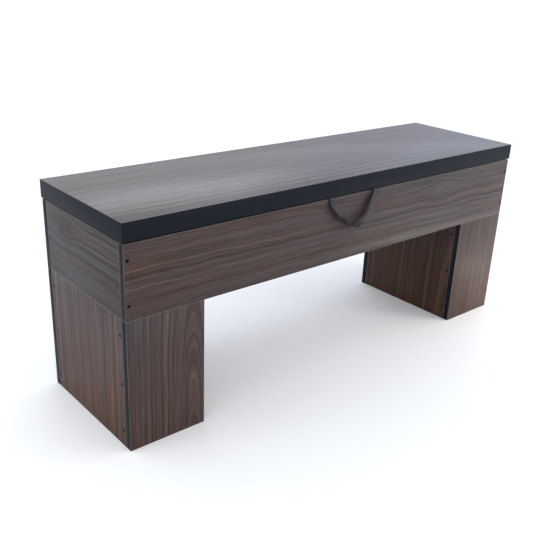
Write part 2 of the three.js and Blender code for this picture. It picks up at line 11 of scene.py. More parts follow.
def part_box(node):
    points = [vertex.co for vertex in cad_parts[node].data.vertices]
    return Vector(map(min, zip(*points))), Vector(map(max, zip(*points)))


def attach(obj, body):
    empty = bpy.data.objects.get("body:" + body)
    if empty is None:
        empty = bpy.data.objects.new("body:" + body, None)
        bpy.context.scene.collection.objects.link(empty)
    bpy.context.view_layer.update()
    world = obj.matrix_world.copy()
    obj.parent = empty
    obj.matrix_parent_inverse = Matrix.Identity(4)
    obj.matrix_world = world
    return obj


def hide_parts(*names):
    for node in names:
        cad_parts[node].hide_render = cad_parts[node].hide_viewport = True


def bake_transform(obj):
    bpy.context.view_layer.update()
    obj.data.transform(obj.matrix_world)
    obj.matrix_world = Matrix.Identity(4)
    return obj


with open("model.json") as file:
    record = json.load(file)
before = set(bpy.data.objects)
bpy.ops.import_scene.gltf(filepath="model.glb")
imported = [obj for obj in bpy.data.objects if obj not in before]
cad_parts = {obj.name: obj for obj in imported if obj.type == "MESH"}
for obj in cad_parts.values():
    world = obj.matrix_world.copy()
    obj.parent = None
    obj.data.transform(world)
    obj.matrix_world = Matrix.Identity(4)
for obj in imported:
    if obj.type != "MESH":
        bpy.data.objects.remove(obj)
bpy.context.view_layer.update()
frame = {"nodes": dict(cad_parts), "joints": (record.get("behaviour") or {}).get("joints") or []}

# ---------------------------------------------------------------- sizes, in metres
MM = 0.001
ARRIS = 0.5 * MM  # softened edge of a board
BAND_ARRIS = 0.6 * MM
METAL_ARRIS = 0.2 * MM

SCREW_HEAD = 3.7 * MM
SCREW_HEAD_DEPTH = 2.6 * MM
SCREW_LAND = 0.4 * MM
SCREW_SHANK = 2.0 * MM
SCREW_TIP = 6 * MM
SCREW_SUNK = 0.25 * MM
SCREW_POINT = 0.2 * MM
SCREW_RIM = 0.12 * MM
SCREW_CHAMFER = 0.15 * MM
RECESS_REACH = 1.9 * MM
RECESS_HALF_WIDTH = 0.42 * MM
RECESS_DEPTH = 1.7 * MM
RECESS_TAPER = 0.35
HOLE_CLEARANCE = 0.15 * MM
PANEL_SCREW = 40 * MM
SHORT_SCREW = 14 * MM
LEG_SCREW_MARGIN = 34 * MM
BRACKET_SCREW_MARGIN = 6 * MM

HINGE_LEAF = 1.1 * MM
HINGE_CORNER = 4 * MM
LEAF_STAND_OFF = 0.15 * MM  # from a leaf's face to the hinge's middle line
KNUCKLES = 5
KNUCKLE_GAP = 0.3 * MM
KNUCKLE_RADIUS = 2.8 * MM
KNUCKLE_EDGE = 0.25 * MM
LEAF_TO_KNUCKLE = 0.5 * MM
PIN_RADIUS = 1.4 * MM
PIN_CLEARANCE = 0.1 * MM
PIN_DOME = 0.6 * MM
PIN_TIP = 0.3 * MM

TUBE_RADIUS = 7.5 * MM
TUBE_START = 12 * MM  # from the foot's pivot
TUBE_STOPS_SHORT = 26 * MM  # of the head's pivot, with the lid shut
BORE_DEPTH = 78 * MM
ROD_RADIUS = 3 * MM
ROD_IN_TUBE = 70 * MM
ROD_SHOULDER = 14 * MM  # from the head's pivot
THREAD_RADIUS = 2.4 * MM
SOCKET_RADIUS = 6.5 * MM
SOCKET_WIDTH = 9 * MM
SOCKET_EDGE = 0.8 * MM
SOCKET_PLAY = 0.4 * MM
NECK_RADIUS = 4.2 * MM
BALL_RADIUS = 3.2 * MM
CUP_RADIUS = BALL_RADIUS + 0.15 * MM
BRACKET_PLATE = 1.5 * MM
BRACKET_CORNER = 4 * MM
CLAMP_CORNER = 3 * MM
BALL_STUD_ROOT = 0.6 * MM  # how deep a stud's foot goes into its plate
CHEEK_STUD_ROOT = 0.5 * MM

RIBBON_WIDTH = 20 * MM
RIBBON_THICKNESS = 1.1 * MM
RIB_PITCH = 1.3 * MM
THREAD_PITCH = 0.8 * MM
SELVEDGE = 1.6 * MM
SELVEDGE_BLUR = 0.3 * MM
SETTLED = 14 * MM  # how far below its clamps the ribbon has come to lie along its run
RIBBON_ROWS = 150
RIBBON_COLUMNS = 12
FOLD_REACH = 30 * MM  # how far down the fold in the left strand goes
FOLD_TURN = math.radians(30)

SIDES = {"left": -1, "right": 1}
FACES = {"front": -1, "back": 1}
AXES = {"X": Vector((1, 0, 0)), "Y": Vector((0, 1, 0)), "Z": Vector((0, 0, 1))}

joints = {joint["name"]: joint for joint in frame["joints"]}
hinge_line = Vector(joints["lid_hinge"]["pos_m"])
dice = random.Random(7)


# ---------------------------------------------------------------- modelling helpers
def clear_selection():
    bpy.ops.object.select_all(action="DESELECT")


def select_only(*pieces):
    clear_selection()
    for piece in pieces:
        piece.select_set(True)
    bpy.context.view_layer.objects.active = pieces[0]


def settle(piece, name):
    """Applies the piece's place to its mesh and names it."""
    select_only(piece)
    bpy.ops.object.transform_apply(location=True, rotation=True, scale=True)
    piece.name = piece.data.name = name
    return piece


def modify(piece, kind, **settings):
    """Adds one modifier and applies it."""
    modifier = piece.modifiers.new(kind.title(), kind)
    for key, value in settings.items():
        setattr(modifier, key, value)
    select_only(piece)
    bpy.ops.object.modifier_apply(modifier=modifier.name)
    return piece


def soften(piece, width, segments=2):
    return modify(
        piece, "BEVEL", width=width, segments=segments,
        limit_method="ANGLE", angle_limit=math.radians(40),
    )


def smooth(piece, angle=35):
    select_only(piece)
    bpy.ops.object.shade_smooth_by_angle(angle=math.radians(angle))
    return piece


def block(name, low, high):
    """A rectangular block between two corners."""
    low, high = Vector(low), Vector(high)
    clear_selection()
    bpy.ops.mesh.primitive_cube_add(size=1, location=(low + high) / 2, scale=high - low)
    return settle(bpy.context.object, name)


def face_outward(piece):
    """Turns all the faces of a closed piece outward."""
    select_only(piece)
    bpy.ops.object.mode_set(mode="EDIT")
    bpy.ops.mesh.select_all(action="SELECT")
    bpy.ops.mesh.normals_make_consistent(inside=False)
    bpy.ops.object.mode_set(mode="OBJECT")
    return piece


def turned(name, outline, segments=32):
    """A closed turned shape about Z. The outline is (radius, height) steps, each an extrusion
    of the end face, moved and scaled."""
    radius, height = outline[0]
    clear_selection()
    bpy.ops.mesh.primitive_circle_add(
        vertices=segments, radius=radius, fill_type="NGON", location=(0, 0, height)
    )
    piece = settle(bpy.context.object, name)
    bpy.ops.object.mode_set(mode="EDIT")
    bpy.ops.mesh.select_mode(type="FACE")
    bpy.ops.mesh.select_all(action="SELECT")
    for next_radius, next_height in outline[1:]:
        bpy.ops.mesh.extrude_region_move(
            TRANSFORM_OT_translate={"value": (0, 0, next_height - height)}
        )
        ratio = next_radius / radius
        bpy.ops.transform.resize(value=(ratio, ratio, 1), center_override=(0, 0, next_height))
        radius, height = next_radius, next_height
    bpy.ops.object.mode_set(mode="OBJECT")
    return face_outward(piece)


def round_edge(radius, start, corner, steps=4):
    """Outline steps for a bar's end at height start, its edge rounded by corner. A negative
    corner rounds a top end."""
    sign = 1 if corner > 0 else -1
    reach = abs(corner)
    angles = [math.pi / 2 * i / steps for i in range(steps + 1)]
    bend = [
        (radius - reach * (1 - math.sin(a)), start + sign * reach * (1 - math.cos(a)))
        for a in angles
    ]
    return bend if sign > 0 else bend[::-1]


def aim(outward, at=(0, 0, 0), spin=0.0):
    """The placing that stands a Z-up shape along outward, at a point."""
    turn = AXES["Z"].rotation_difference(Vector(outward)).to_matrix().to_4x4()
    return Matrix.Translation(Vector(at)) @ turn @ Matrix.Rotation(spin, 4, "Z")


def move(piece, placing):
    piece.data.transform(placing)
    piece.data.update()
    return piece


def copy_of(piece, name, placing):
    twin = bpy.data.objects.new(name, piece.data.copy())
    twin.data.name = name
    bpy.context.scene.collection.objects.link(twin)
    return move(twin, placing)


def mirrored(piece, name, axes="X"):
    """A copy reflected through the middle of the bench, with its faces turned outward again."""
    placing = Matrix.Identity(4)
    for axis in axes:
        placing = Matrix.Scale(-1, 4, AXES[axis]) @ placing
    return face_outward(copy_of(piece, name, placing))


def discard(piece):
    bpy.data.meshes.remove(piece.data)


def merge(name, pieces):
    select_only(*pieces)
    if len(pieces) > 1:
        bpy.ops.object.join()
    return settle(bpy.context.object, name)


def carve(piece, tool, operation="DIFFERENCE"):
    """Cuts the tool out of the piece, or joins it on, and throws the tool away."""
    modify(piece, "BOOLEAN", operation=operation, object=tool, solver="EXACT")
    discard(tool)
    return piece


def paint(piece, *materials):
    piece.data.materials.clear()
    for material in materials:
        piece.data.materials.append(material)
    return piece


def fit(piece, body, slot, *nodes):
    """Hands a finished piece to the frame: its body and what it stands for. slot is not used."""
    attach(piece, body)
    if nodes:
        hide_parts(*nodes)
    return piece


def fit_pair(left, body, slot, node=None, shift=None):
    """Fits a left-hand piece and its right-hand twin: a mirrored one, or a copy moved along the
    bench by shift. body and node name the right-hand ones in the same way."""
    name = left.name.replace("left", "right")
    right = mirrored(left, name) if shift is None else copy_of(left, name, Matrix.Translation(shift))
    for piece, side in ((left, "left"), (right, "right")):
        nodes = [node.replace("left", side)] if node else []
        fit(piece, body.replace("left", side), slot, *nodes)


def to_right(node):
    """The move from a left-hand node to the right-hand one like it."""
    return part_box(node.replace("left", "right"))[0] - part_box(node)[0]


# ---------------------------------------------------------------- shader helpers
def feed(node, values):
    """Gives a node's inputs, as sockets to link or plain values."""
    for key, value in values.items():
        if isinstance(value, bpy.types.NodeSocket):
            node.id_data.links.new(value, node.inputs[key])
        else:
            node.inputs[key].default_value = value
    return node


def put(tree, kind, values=None, **settings):
    """Adds a node with its settings and its inputs."""
    made = tree.nodes.new(kind)
    for key, value in settings.items():
        setattr(made, key, value)
    return feed(made, values or {})


def maths(tree, operation, a, b=0.0, c=0.0, clamp=False):
    values = {0: a, 1: b, 2: c}
    return put(tree, "ShaderNodeMath", values, operation=operation, use_clamp=clamp).outputs[0]


def times(tree, a, b):
    return maths(tree, "MULTIPLY", a, b)


def swayed(tree, base, value, amount):
    """The base, moved by amount times what value differs from a half."""
    return maths(tree, "MULTIPLY_ADD", maths(tree, "SUBTRACT", value, 0.5), amount, base)


def vectors(tree, operation, a, b=(0, 0, 0)):
    return put(tree, "ShaderNodeVectorMath", {0: a, 1: b}, operation=operation).outputs[0]


def parts_of(tree, vector):
    return put(tree, "ShaderNodeSeparateXYZ", {"Vector": vector}).outputs


def dimmed(tree, colour, share):
    values = {0: colour, "Scale": share}
    return put(tree, "ShaderNodeVectorMath", values, operation="SCALE").outputs[0]


def noise(tree, place, stretch=(1, 1, 1), detail=2.0, roughness=0.5, scale=1.0, output="Fac"):
    values = {
        "Vector": vectors(tree, "MULTIPLY", place, stretch), "Scale": scale,
        "Detail": detail, "Roughness": roughness,
    }
    return put(tree, "ShaderNodeTexNoise", values).outputs[output]


def spread(tree, value, low, high, to_low=0.0, to_high=1.0):
    values = {"Value": value, "From Min": low, "From Max": high, "To Min": to_low, "To Max": to_high}
    return put(
        tree, "ShaderNodeMapRange", values, interpolation_type="SMOOTHSTEP"
    ).outputs["Result"]


def blend_colours(tree, factor, a, b, mode="MIX"):
    """Two colours mixed. A mix node's colours are its inputs 6 and 7 and its output 2."""
    first, second = (v if isinstance(v, bpy.types.NodeSocket) else (*v[:3], 1.0) for v in (a, b))
    values = {0: factor, 6: first, 7: second}
    return put(tree, "ShaderNodeMix", values, data_type="RGBA", blend_type=mode).outputs[2]


def shade_group(name, inputs, outputs):
    """An empty shader group with its named sockets, and its input sockets and its end node.
    inputs is {name: (kind, default)}."""
    group = bpy.data.node_groups.new(name, "ShaderNodeTree")
    kinds = {"value": "NodeSocketFloat", "colour": "NodeSocketColor", "vector": "NodeSocketVector"}
    for key, (kind, default) in inputs.items():
        socket = group.interface.new_socket(key, in_out="INPUT", socket_type=kinds[kind])
        socket.default_value = default
    for key, kind in outputs.items():
        group.interface.new_socket(key, in_out="OUTPUT", socket_type=kinds[kind])
    return group, put(group, "NodeGroupInput").outputs, put(group, "NodeGroupOutput")


def grouped(tree, group, values):
    return put(tree, "ShaderNodeGroup", values, node_tree=group).outputs


def blank_material(name, roughness=0.5, metallic=0.0, **constants):
    """A new node material. Returns it with its tree, its shader and its object coordinates."""
    material = bpy.data.materials.new(name)
    material.use_nodes = True
    tree = material.node_tree
    shader = tree.nodes["Principled BSDF"]
    feed(shader, {"Roughness": roughness, "Metallic": metallic})
    feed(shader, {key.replace("_", " "): value for key, value in constants.items()})
    return material, tree, shader, put(tree, "ShaderNodeTexCoord").outputs["Object"]


def bump(tree, shader, height, depth, strength):
    values = {"Height": height, "Distance": depth, "Strength": strength}
    feed(shader, {"Normal": put(tree, "ShaderNodeBump", values).outputs["Normal"]})


# ---------------------------------------------------------------- shared surface effects
def make_handling_group():
    """Soft smears left by hands and cloths, which vary a finish's gloss."""
    tree, given, result = shade_group(
        "handling",
        {"Place": ("vector", (0, 0, 0)), "Gloss": ("value", 0.4), "Smear": ("value", 0.06)},
        {"Roughness": "value"},
    )
    broad = noise(tree, given["Place"], (6, 6, 9), 3, 0.6)
    fine = noise(tree, given["Place"], (55, 55, 55))
    both = maths(tree, "ADD", times(tree, broad, 0.7), times(tree, fine, 0.3))
    swing = times(tree, maths(tree, "SUBTRACT", both, 0.5), 2)
    rough = maths(tree, "MULTIPLY_ADD", swing, given["Smear"], given["Gloss"])
    feed(result, {"Roughness": rough})
    return tree


def make_figure_group():
    """Walnut figure in a board's own space: X along the grain, Y across the face, Z through the
    board, from the middle of its face. Lines follow the growth rings of a tree whose middle
    line lies at Middle (across, deep) and is tipped into the board."""
    tree, given, result = shade_group(
        "walnut_figure",
        {
            "Along": ("vector", (0, 0, 0)),
            "Middle": ("vector", (0, 0.2, 0.05)),
            "Tip": ("value", 0.03),
            "Wave": ("value", 5 * MM),
            "Knot": ("vector", (9, 0, 0)),
            "Knot Size": ("value", 0.02),
            "Knot Push": ("value", 0.0),
            "Knot Dark": ("value", 0.0),
            "Line Width": ("value", 0.011),
            "Seed": ("value", 0.0),
            "Warmth": ("value", 0.5),
            "Warmth Slope": ("vector", (0, 0, 0)),
            "Depth": ("value", 1.0),
            "Lightness": ("value", 1.0),
        },
        {"Color": "colour", "Pores": "value", "Height": "value"},
    )
    along, seed = given["Along"], given["Seed"]
    offset = put(tree, "ShaderNodeCombineXYZ", {"Z": seed}).outputs["Vector"]
    seeded = vectors(tree, "ADD", along, offset)
    parts = parts_of(tree, along)

    # slow waves and small ripples carry the lines up and down
    drifts = []
    for stretch, detail, reach in (((3.2, 6, 1), 1, (3, 6, 0)), ((13, 26, 1), 2, (1.1, 1.2, 0))):
        drift = noise(tree, seeded, stretch, detail, output="Color")
        drift = vectors(tree, "SUBTRACT", drift, (0.5, 0.5, 0.5))
        drifts.append(vectors(tree, "MULTIPLY", drift, reach))
    shift = parts_of(tree, vectors(tree, "ADD", *drifts))
    middle = parts_of(tree, given["Middle"])
    across = maths(tree, "SUBTRACT", parts["Y"], middle["Y"])
    across = maths(tree, "MULTIPLY_ADD", shift["X"], given["Wave"], across)
    deep = maths(tree, "MULTIPLY_ADD", parts["X"], given["Tip"], middle["Z"])
    deep = maths(tree, "MULTIPLY_ADD", shift["Y"], given["Wave"], deep)
    deep = maths(tree, "ADD", deep, parts["Z"])

    # a knot pushes the lines away above and below it, and darkens
    to_knot = vectors(tree, "SUBTRACT", along, given["Knot"])
    to_knot = vectors(tree, "MULTIPLY", to_knot, (0.6, 1, 0))
    knot_reach = put(tree, "ShaderNodeVectorMath", {0: to_knot}, operation="LENGTH")
    knot_share = maths(tree, "DIVIDE", knot_reach.outputs["Value"], given["Knot Size"])
    knot_fade = maths(tree, "EXPONENT", times(tree, maths(tree, "POWER", knot_share, 2), -1))
    push = times(tree, parts_of(tree, to_knot)["Y"], given["Knot Push"])
    across = maths(tree, "SUBTRACT", across, times(tree, push, knot_fade))
    squares = [maths(tree, "POWER", reach, 2) for reach in (across, deep)]
    radius = maths(tree, "SQRT", maths(tree, "ADD", *squares))

    flow_parts = {"X": parts["X"], "Y": radius, "Z": seed}
    flow = put(tree, "ShaderNodeCombineXYZ", flow_parts).outputs["Vector"]
    stripe_place = maths(tree, "DIVIDE", radius, given["Line Width"])
    stripes = put(
        tree, "ShaderNodeTexNoise",
        {"W": maths(tree, "MULTIPLY_ADD", seed, 7.3, stripe_place), "Scale": 1.0,
         "Detail": 5.0, "Roughness": 0.68},
        noise_dimensions="1D",
    ).outputs["Fac"]
    drawn = noise(tree, flow, (6, 260, 1), 3, 0.65)
    fibre = noise(tree, flow, (14, 900, 1), 2, 0.6)
    pores = spread(tree, noise(tree, flow, (60, 1500, 1), 1, 0.5), 0.6, 0.72)
    cloud = noise(tree, flow, (2.5, 38, 1), 2, 0.55)

    tone = 0.0
    for layer, weight in ((stripes, 1.3), (drawn, 1.05), (fibre, 0.7)):
        tone = swayed(tree, tone, layer, weight)
    tone = maths(tree, "MULTIPLY_ADD", tone, given["Depth"], 0.5)
    dark = times(tree, knot_fade, given["Knot Dark"])
    tone = maths(tree, "SUBTRACT", tone, dark, clamp=True)
    ramp = put(tree, "ShaderNodeValToRGB", {"Fac": tone})
    stops = [
        (0.0, (0.026, 0.017, 0.016)),
        (0.3, (0.054, 0.036, 0.034)),
        (0.5, (0.084, 0.057, 0.054)),
        (0.75, (0.122, 0.085, 0.077)),
        (1.0, (0.180, 0.128, 0.108)),
    ]
    while len(ramp.color_ramp.elements) < len(stops):
        ramp.color_ramp.elements.new(0.5)
    for element, (at, colour) in zip(ramp.color_ramp.elements, stops):
        element.position = at
        element.color = (*colour, 1)
    warm, ruddy, cool = (
        blend_colours(tree, 1.0, ramp.outputs["Color"], tint, "MULTIPLY")
        for tint in ((1.05, 0.96, 0.90), (1.02, 0.74, 0.54), (0.96, 1.20, 1.27))
    )
    # Painted light: along this slope the colour leans from the cool grey, a painted reflection of
    # the sky, to warm and ruddy, a painted warm light thrown up from the floor.
    painted_light_slope = put(
        tree, "ShaderNodeVectorMath", {0: along, 1: given["Warmth Slope"]},
        operation="DOT_PRODUCT",
    ).outputs["Value"]
    lean = swayed(tree, maths(tree, "ADD", given["Warmth"], painted_light_slope), cloud, 1.6)
    colour = blend_colours(tree, lean, cool, warm)
    colour = blend_colours(tree, maths(tree, "SUBTRACT", lean, 1, clamp=True), colour, ruddy)
    colour = blend_colours(tree, times(tree, pores, 0.35), colour, (0.02, 0.013, 0.011))
    height = maths(tree, "MULTIPLY_ADD", pores, -0.7, times(tree, fibre, 0.5))
    colour = dimmed(tree, colour, given["Lightness"])
    feed(result, {"Color": colour, "Pores": pores, "Height": height})
    return tree


def make_skin_group():
    """The skin of moulded plastic: soft patches of colour and a fine grain."""
    tree, given, result = shade_group(
        "moulded_skin",
        {
            "Place": ("vector", (0, 0, 0)),
            "Dark": ("colour", (0.01, 0.01, 0.01, 1)),
            "Pale": ("colour", (0.02, 0.02, 0.02, 1)),
            "Grain": ("value", 900),
        },
        {"Color": "colour", "Height": "value"},
    )
    patch = noise(tree, given["Place"], (14, 14, 14))
    colour = blend_colours(tree, patch, given["Dark"], given["Pale"])
    feed(result, {"Color": colour, "Height": noise(tree, given["Place"], scale=given["Grain"])})
    return tree


def make_worked_group():
    """The surface of worked metal: drawn or tumbled marks, and faint stains."""
    tree, given, result = shade_group(
        "worked_metal",
        {
            "Place": ("vector", (0, 0, 0)),
            "Dark": ("colour", (0.3, 0.3, 0.3, 1)),
            "Pale": ("colour", (0.6, 0.6, 0.6, 1)),
            "Marks": ("vector", (300, 300, 300)),
        },
        {"Color": "colour", "Height": "value"},
    )
    marks = noise(tree, given["Place"], given["Marks"], 3, 0.6)
    stain = spread(tree, noise(tree, given["Place"], (90, 90, 90), 3, 0.6), 0.3, 0.7)
    colour = blend_colours(tree, stain, given["Dark"], given["Pale"])
    feed(result, {"Color": colour, "Height": marks})
    return tree


handling = make_handling_group()
figure = make_figure_group()
moulded_skin = make_skin_group()
worked_metal = make_worked_group()


# ---------------------------------------------------------------- materials
def handled(tree, place, gloss, smear=0.05):
    """A roughness made uneven by handling."""
    return grouped(tree, handling, {"Place": place, "Gloss": gloss, "Smear": smear})["Roughness"]


def walnut(node, grain, thin, facing, middle, tip, seed, warmth=0.5, painted_light_slope=(0, 0), depth=1.0,
           wave=5 * MM, line=11 * MM, knot=(9, 0), knot_push=0.0, knot_size=20 * MM, knot_dark=0.0,
           gloss=0.32, index=1.42, lightness=1.0):
    """Walnut-figured skin of one board. grain is the way its lines run, thin the axis through
    it and facing the side it shows. middle, (across, deep), and knot, (along, across), are in
    the board's own space. A knot far off the board leaves none."""
    low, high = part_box(node)
    face = (low + high) / 2
    through = "XYZ".index(thin)
    face[through] = high[through] if facing > 0 else low[through]
    along = AXES[grain]
    side = AXES["XYZ".replace(grain, "").replace(thin, "")]
    axes = Matrix((along, side, along.cross(side)))
    material, tree, shader, place = blank_material(f"walnut_{node}", IOR=index)
    laid = put(
        tree, "ShaderNodeMapping",
        {"Vector": place, "Rotation": axes.to_euler("XYZ"), "Location": -(axes @ face)},
    ).outputs["Vector"]
    look = grouped(tree, figure, {
        "Along": laid, "Middle": (0, *middle), "Tip": tip, "Seed": seed, "Wave": wave,
        "Knot": (*knot, 0), "Knot Push": knot_push, "Knot Size": knot_size,
        "Knot Dark": knot_dark, "Line Width": line, "Warmth": warmth,
        "Warmth Slope": (*painted_light_slope, 0), "Depth": depth, "Lightness": lightness,
    })
    dull = maths(tree, "MULTIPLY_ADD", look["Pores"], 0.12, handled(tree, place, gloss))
    feed(shader, {"Base Color": look["Color"], "Roughness": dull})
    bump(tree, shader, look["Height"], 0.06 * MM, 0.5)
    return material


def make_core():
    """Raw chipboard, where a board is cut and not edged."""
    material, tree, shader, place = blank_material("raw_chipboard", 0.85)
    laid = vectors(tree, "MULTIPLY", place, (420, 420, 700))
    chips = put(tree, "ShaderNodeTexVoronoi", {"Vector": laid, "Scale": 1.0}).outputs
    lot = put(tree, "ShaderNodeSeparateColor", {"Color": chips["Color"]}).outputs["Red"]
    colour = blend_colours(tree, lot, (0.23, 0.15, 0.085), (0.46, 0.34, 0.21))
    cracks = times(tree, spread(tree, chips["Distance"], 0.45, 0.8), 0.5)
    colour = blend_colours(tree, cracks, colour, (0.12, 0.08, 0.05))
    feed(shader, {"Base Color": colour})
    bump(tree, shader, chips["Distance"], 0.3 * MM, 0.4)
    return material


def make_plastic(name, colour, gloss, pale=None, index=1.45):
    """Moulded or extruded plastic: a fine skin and uneven gloss."""
    material, tree, shader, place = blank_material(name, gloss, IOR=index)
    pale = pale or [1.35 * c for c in colour]
    look = grouped(tree, moulded_skin, {"Place": place, "Dark": (*colour, 1), "Pale": (*pale, 1)})
    feed(shader, {"Base Color": look["Color"], "Roughness": handled(tree, place, gloss)})
    bump(tree, shader, look["Height"], 0.03 * MM, 0.35)
    return material


def make_metal(name, colour, gloss, marks=(40, 900, 900), metallic=1.0, smear=0.06):
    """Plated or coated metal with fine marks from working it."""
    material, tree, shader, place = blank_material(name, gloss, metallic)
    dark = [0.75 * c for c in colour]
    look = grouped(tree, worked_metal, {
        "Place": place, "Dark": (*dark, 1), "Pale": (*colour, 1), "Marks": marks})
    rough = swayed(tree, handled(tree, place, gloss, smear), look["Height"], 0.2)
    feed(shader, {"Base Color": look["Color"], "Roughness": rough})
    bump(tree, shader, look["Height"], 0.02 * MM, 0.4)
    return material


def make_ribbon_cloth():
    """Ribbed ribbon: close ribs across it, crossed by finer threads along it, and a plain
    selvedge down each side. Its map holds metres, across and along."""
    material, tree, shader, _ = blank_material(
        "ribbon_cloth", 0.5, Sheen_Weight=0.12, Sheen_Roughness=0.35, Sheen_Tint=(0.80, 0.80, 1.0, 1)
    )
    woven = put(tree, "ShaderNodeUVMap", uv_map="weave").outputs["UV"]
    parts = parts_of(tree, woven)
    ribs = maths(tree, "SINE", times(tree, parts["Y"], math.tau / RIB_PITCH))
    threads = maths(tree, "SINE", times(tree, parts["X"], math.tau / THREAD_PITCH))
    from_middle = maths(tree, "ABSOLUTE", parts["X"])
    inner = RIBBON_WIDTH / 2 - SELVEDGE
    selvedge = spread(tree, from_middle, inner, inner + SELVEDGE_BLUR)
    crossed = times(tree, ribs, threads)
    weave = maths(tree, "MULTIPLY_ADD", crossed, 0.35, times(tree, ribs, 0.65))
    weave = times(tree, weave, maths(tree, "SUBTRACT", 1.0, times(tree, selvedge, 0.7)))
    tuft = noise(tree, woven, (900, 700, 1), 2, 0.6)
    shade = maths(tree, "MULTIPLY_ADD", weave, 0.22, tuft, clamp=True)
    colour = blend_colours(tree, shade, (0.014, 0.014, 0.017), (0.066, 0.064, 0.084))
    rough = maths(tree, "MULTIPLY_ADD", weave, -0.08, 0.46)
    feed(shader, {"Base Color": colour, "Roughness": rough})
    bump(tree, shader, weave, 0.16 * MM, 0.8)
    return material


raw_core = make_core()
black_edge = make_plastic("black_edging", (0.0040, 0.0065, 0.0130), 0.36, index=1.38)
# The pale arris colour is partly wear and partly a painted highlight, where the softened edges catch
# the light.
arris_wear_and_highlight = make_plastic("board_arris_wear_and_highlight", (0.15, 0.14, 0.137), 0.5, (0.26, 0.24, 0.235))
zinc = make_metal("zinc_plate", (0.62, 0.62, 0.60), 0.34)
polished_rod = make_metal("polished_rod", (0.72, 0.73, 0.74), 0.14, (900, 900, 30), smear=0.03)
black_paint = make_metal("black_paint", (0.022, 0.022, 0.024), 0.38, metallic=0.0, smear=0.05)
screw_black = make_metal("black_oxide", (0.045, 0.045, 0.048), 0.42, (300, 300, 300), smear=0.08)
socket_plastic = make_plastic("socket_plastic", (0.018, 0.018, 0.019), 0.45)
bumper_rubber = make_plastic("bumper_rubber", (0.035, 0.034, 0.034), 0.7)
ribbon_cloth = make_ribbon_cloth()


# ---------------------------------------------------------------- fasteners and their holes
Screw = namedtuple("Screw", "name at out length body nodes", defaults=[()])


def cross_recess():
    """The tool that cuts a cross-shaped driver recess in a screw's head."""
    arms = []
    for x, y in ((RECESS_HALF_WIDTH, RECESS_REACH), (RECESS_REACH, RECESS_HALF_WIDTH)):
        arm = block("recess_arm", (-x, -y, -RECESS_DEPTH), (x, y, 1 * MM))
        bpy.ops.object.mode_set(mode="EDIT")
        mesh = bmesh.from_edit_mesh(arm.data)
        for vertex in mesh.verts:
            vertex.select = vertex.co.z < 0
        mesh.select_flush(True)
        bmesh.update_edit_mesh(arm.data)
        bpy.ops.transform.resize(
            value=(RECESS_TAPER, RECESS_TAPER, 1), center_override=(0, 0, -RECESS_DEPTH)
        )
        bpy.ops.object.mode_set(mode="OBJECT")
        arms.append(arm)
    return carve(arms[0], arms[1], "UNION")


def make_screw(length):
    """A countersunk screw, its head's face at the origin and its point down along -Z."""
    screw = turned("screw_model", [
        (SCREW_POINT, -length),
        (SCREW_SHANK, -length + SCREW_TIP),
        (SCREW_SHANK, -SCREW_HEAD_DEPTH),
        (SCREW_HEAD, -SCREW_LAND),
        (SCREW_HEAD, -SCREW_RIM),
        (SCREW_HEAD - SCREW_CHAMFER, 0),
    ])
    return smooth(carve(screw, cross_recess()))


def screw_hole(length):
    grow = HOLE_CLEARANCE
    return turned("hole", [
        (SCREW_SHANK + grow, -length - grow),
        (SCREW_SHANK + grow, -SCREW_HEAD_DEPTH - grow),
        (SCREW_HEAD + grow, -SCREW_LAND - grow),
        (SCREW_HEAD + grow, 2 * MM),
    ])


def cad_screws():
    """The box's corner screws and the leg fixing screws, at their places in the frame."""
    found = []
    for name in sorted(frame["nodes"]):
        if not name.startswith(("box_screw", "leg_screw")):
            continue
        low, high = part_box(name)
        middle = (low + high) / 2
        if name.startswith("leg_screw"):
            outward, at = AXES["Z"], Vector((middle.x, middle.y, high.z))
        else:
            facing = FACES["front" if "_front_" in name else "back"]
            outward = AXES["Y"] * facing
            at = Vector((middle.x, low.y if facing < 0 else high.y, middle.z))
        found.append(Screw(f"driven_{name}", at, outward, max(high - low), "box", (name,)))
    return found


def leg_panel_screws():
    """Columns of three screws through each leg's side panels into the rails."""
    found = []
    for side, sign in SIDES.items():
        for place, outward in (("outer", sign), ("inner", -sign)):
            low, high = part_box(f"{side}_leg_{place}_panel")
            face = high.x if outward > 0 else low.x
            first, last = low.z + LEG_SCREW_MARGIN, high.z - LEG_SCREW_MARGIN
            for front in FACES:
                rail_low, rail_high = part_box(f"{side}_leg_{front}_rail")
                middle = (rail_low.y + rail_high.y) / 2
                for row, height in enumerate((first, (first + last) / 2, last), 1):
                    found.append(Screw(
                        f"{side}_leg_{place}_{front}_screw_{row}", Vector((face, middle, height)),
                        AXES["X"] * outward, PANEL_SCREW, "box"))
    return found


def hinge_screws():
    """Three screws through each hinge leaf, down into the back panel or up into the lid."""
    found = []
    for side in SIDES:
        for leaf, up, body in (("fixed", 1, "box"), ("moving", -1, "lid")):
            low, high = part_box(f"{side}_hinge_{leaf}_leaf")
            across = (low.y + hinge_line.y - KNUCKLE_RADIUS) / 2
            face = hinge_line.z - up * LEAF_STAND_OFF
            for i in range(3):
                along = low.x + (high.x - low.x) * (i + 0.5) / 3
                found.append(Screw(
                    f"{side}_{leaf}_leaf_screw_{i + 1}", Vector((along, across, face)),
                    AXES["Z"] * up, SHORT_SCREW, body))
    return found


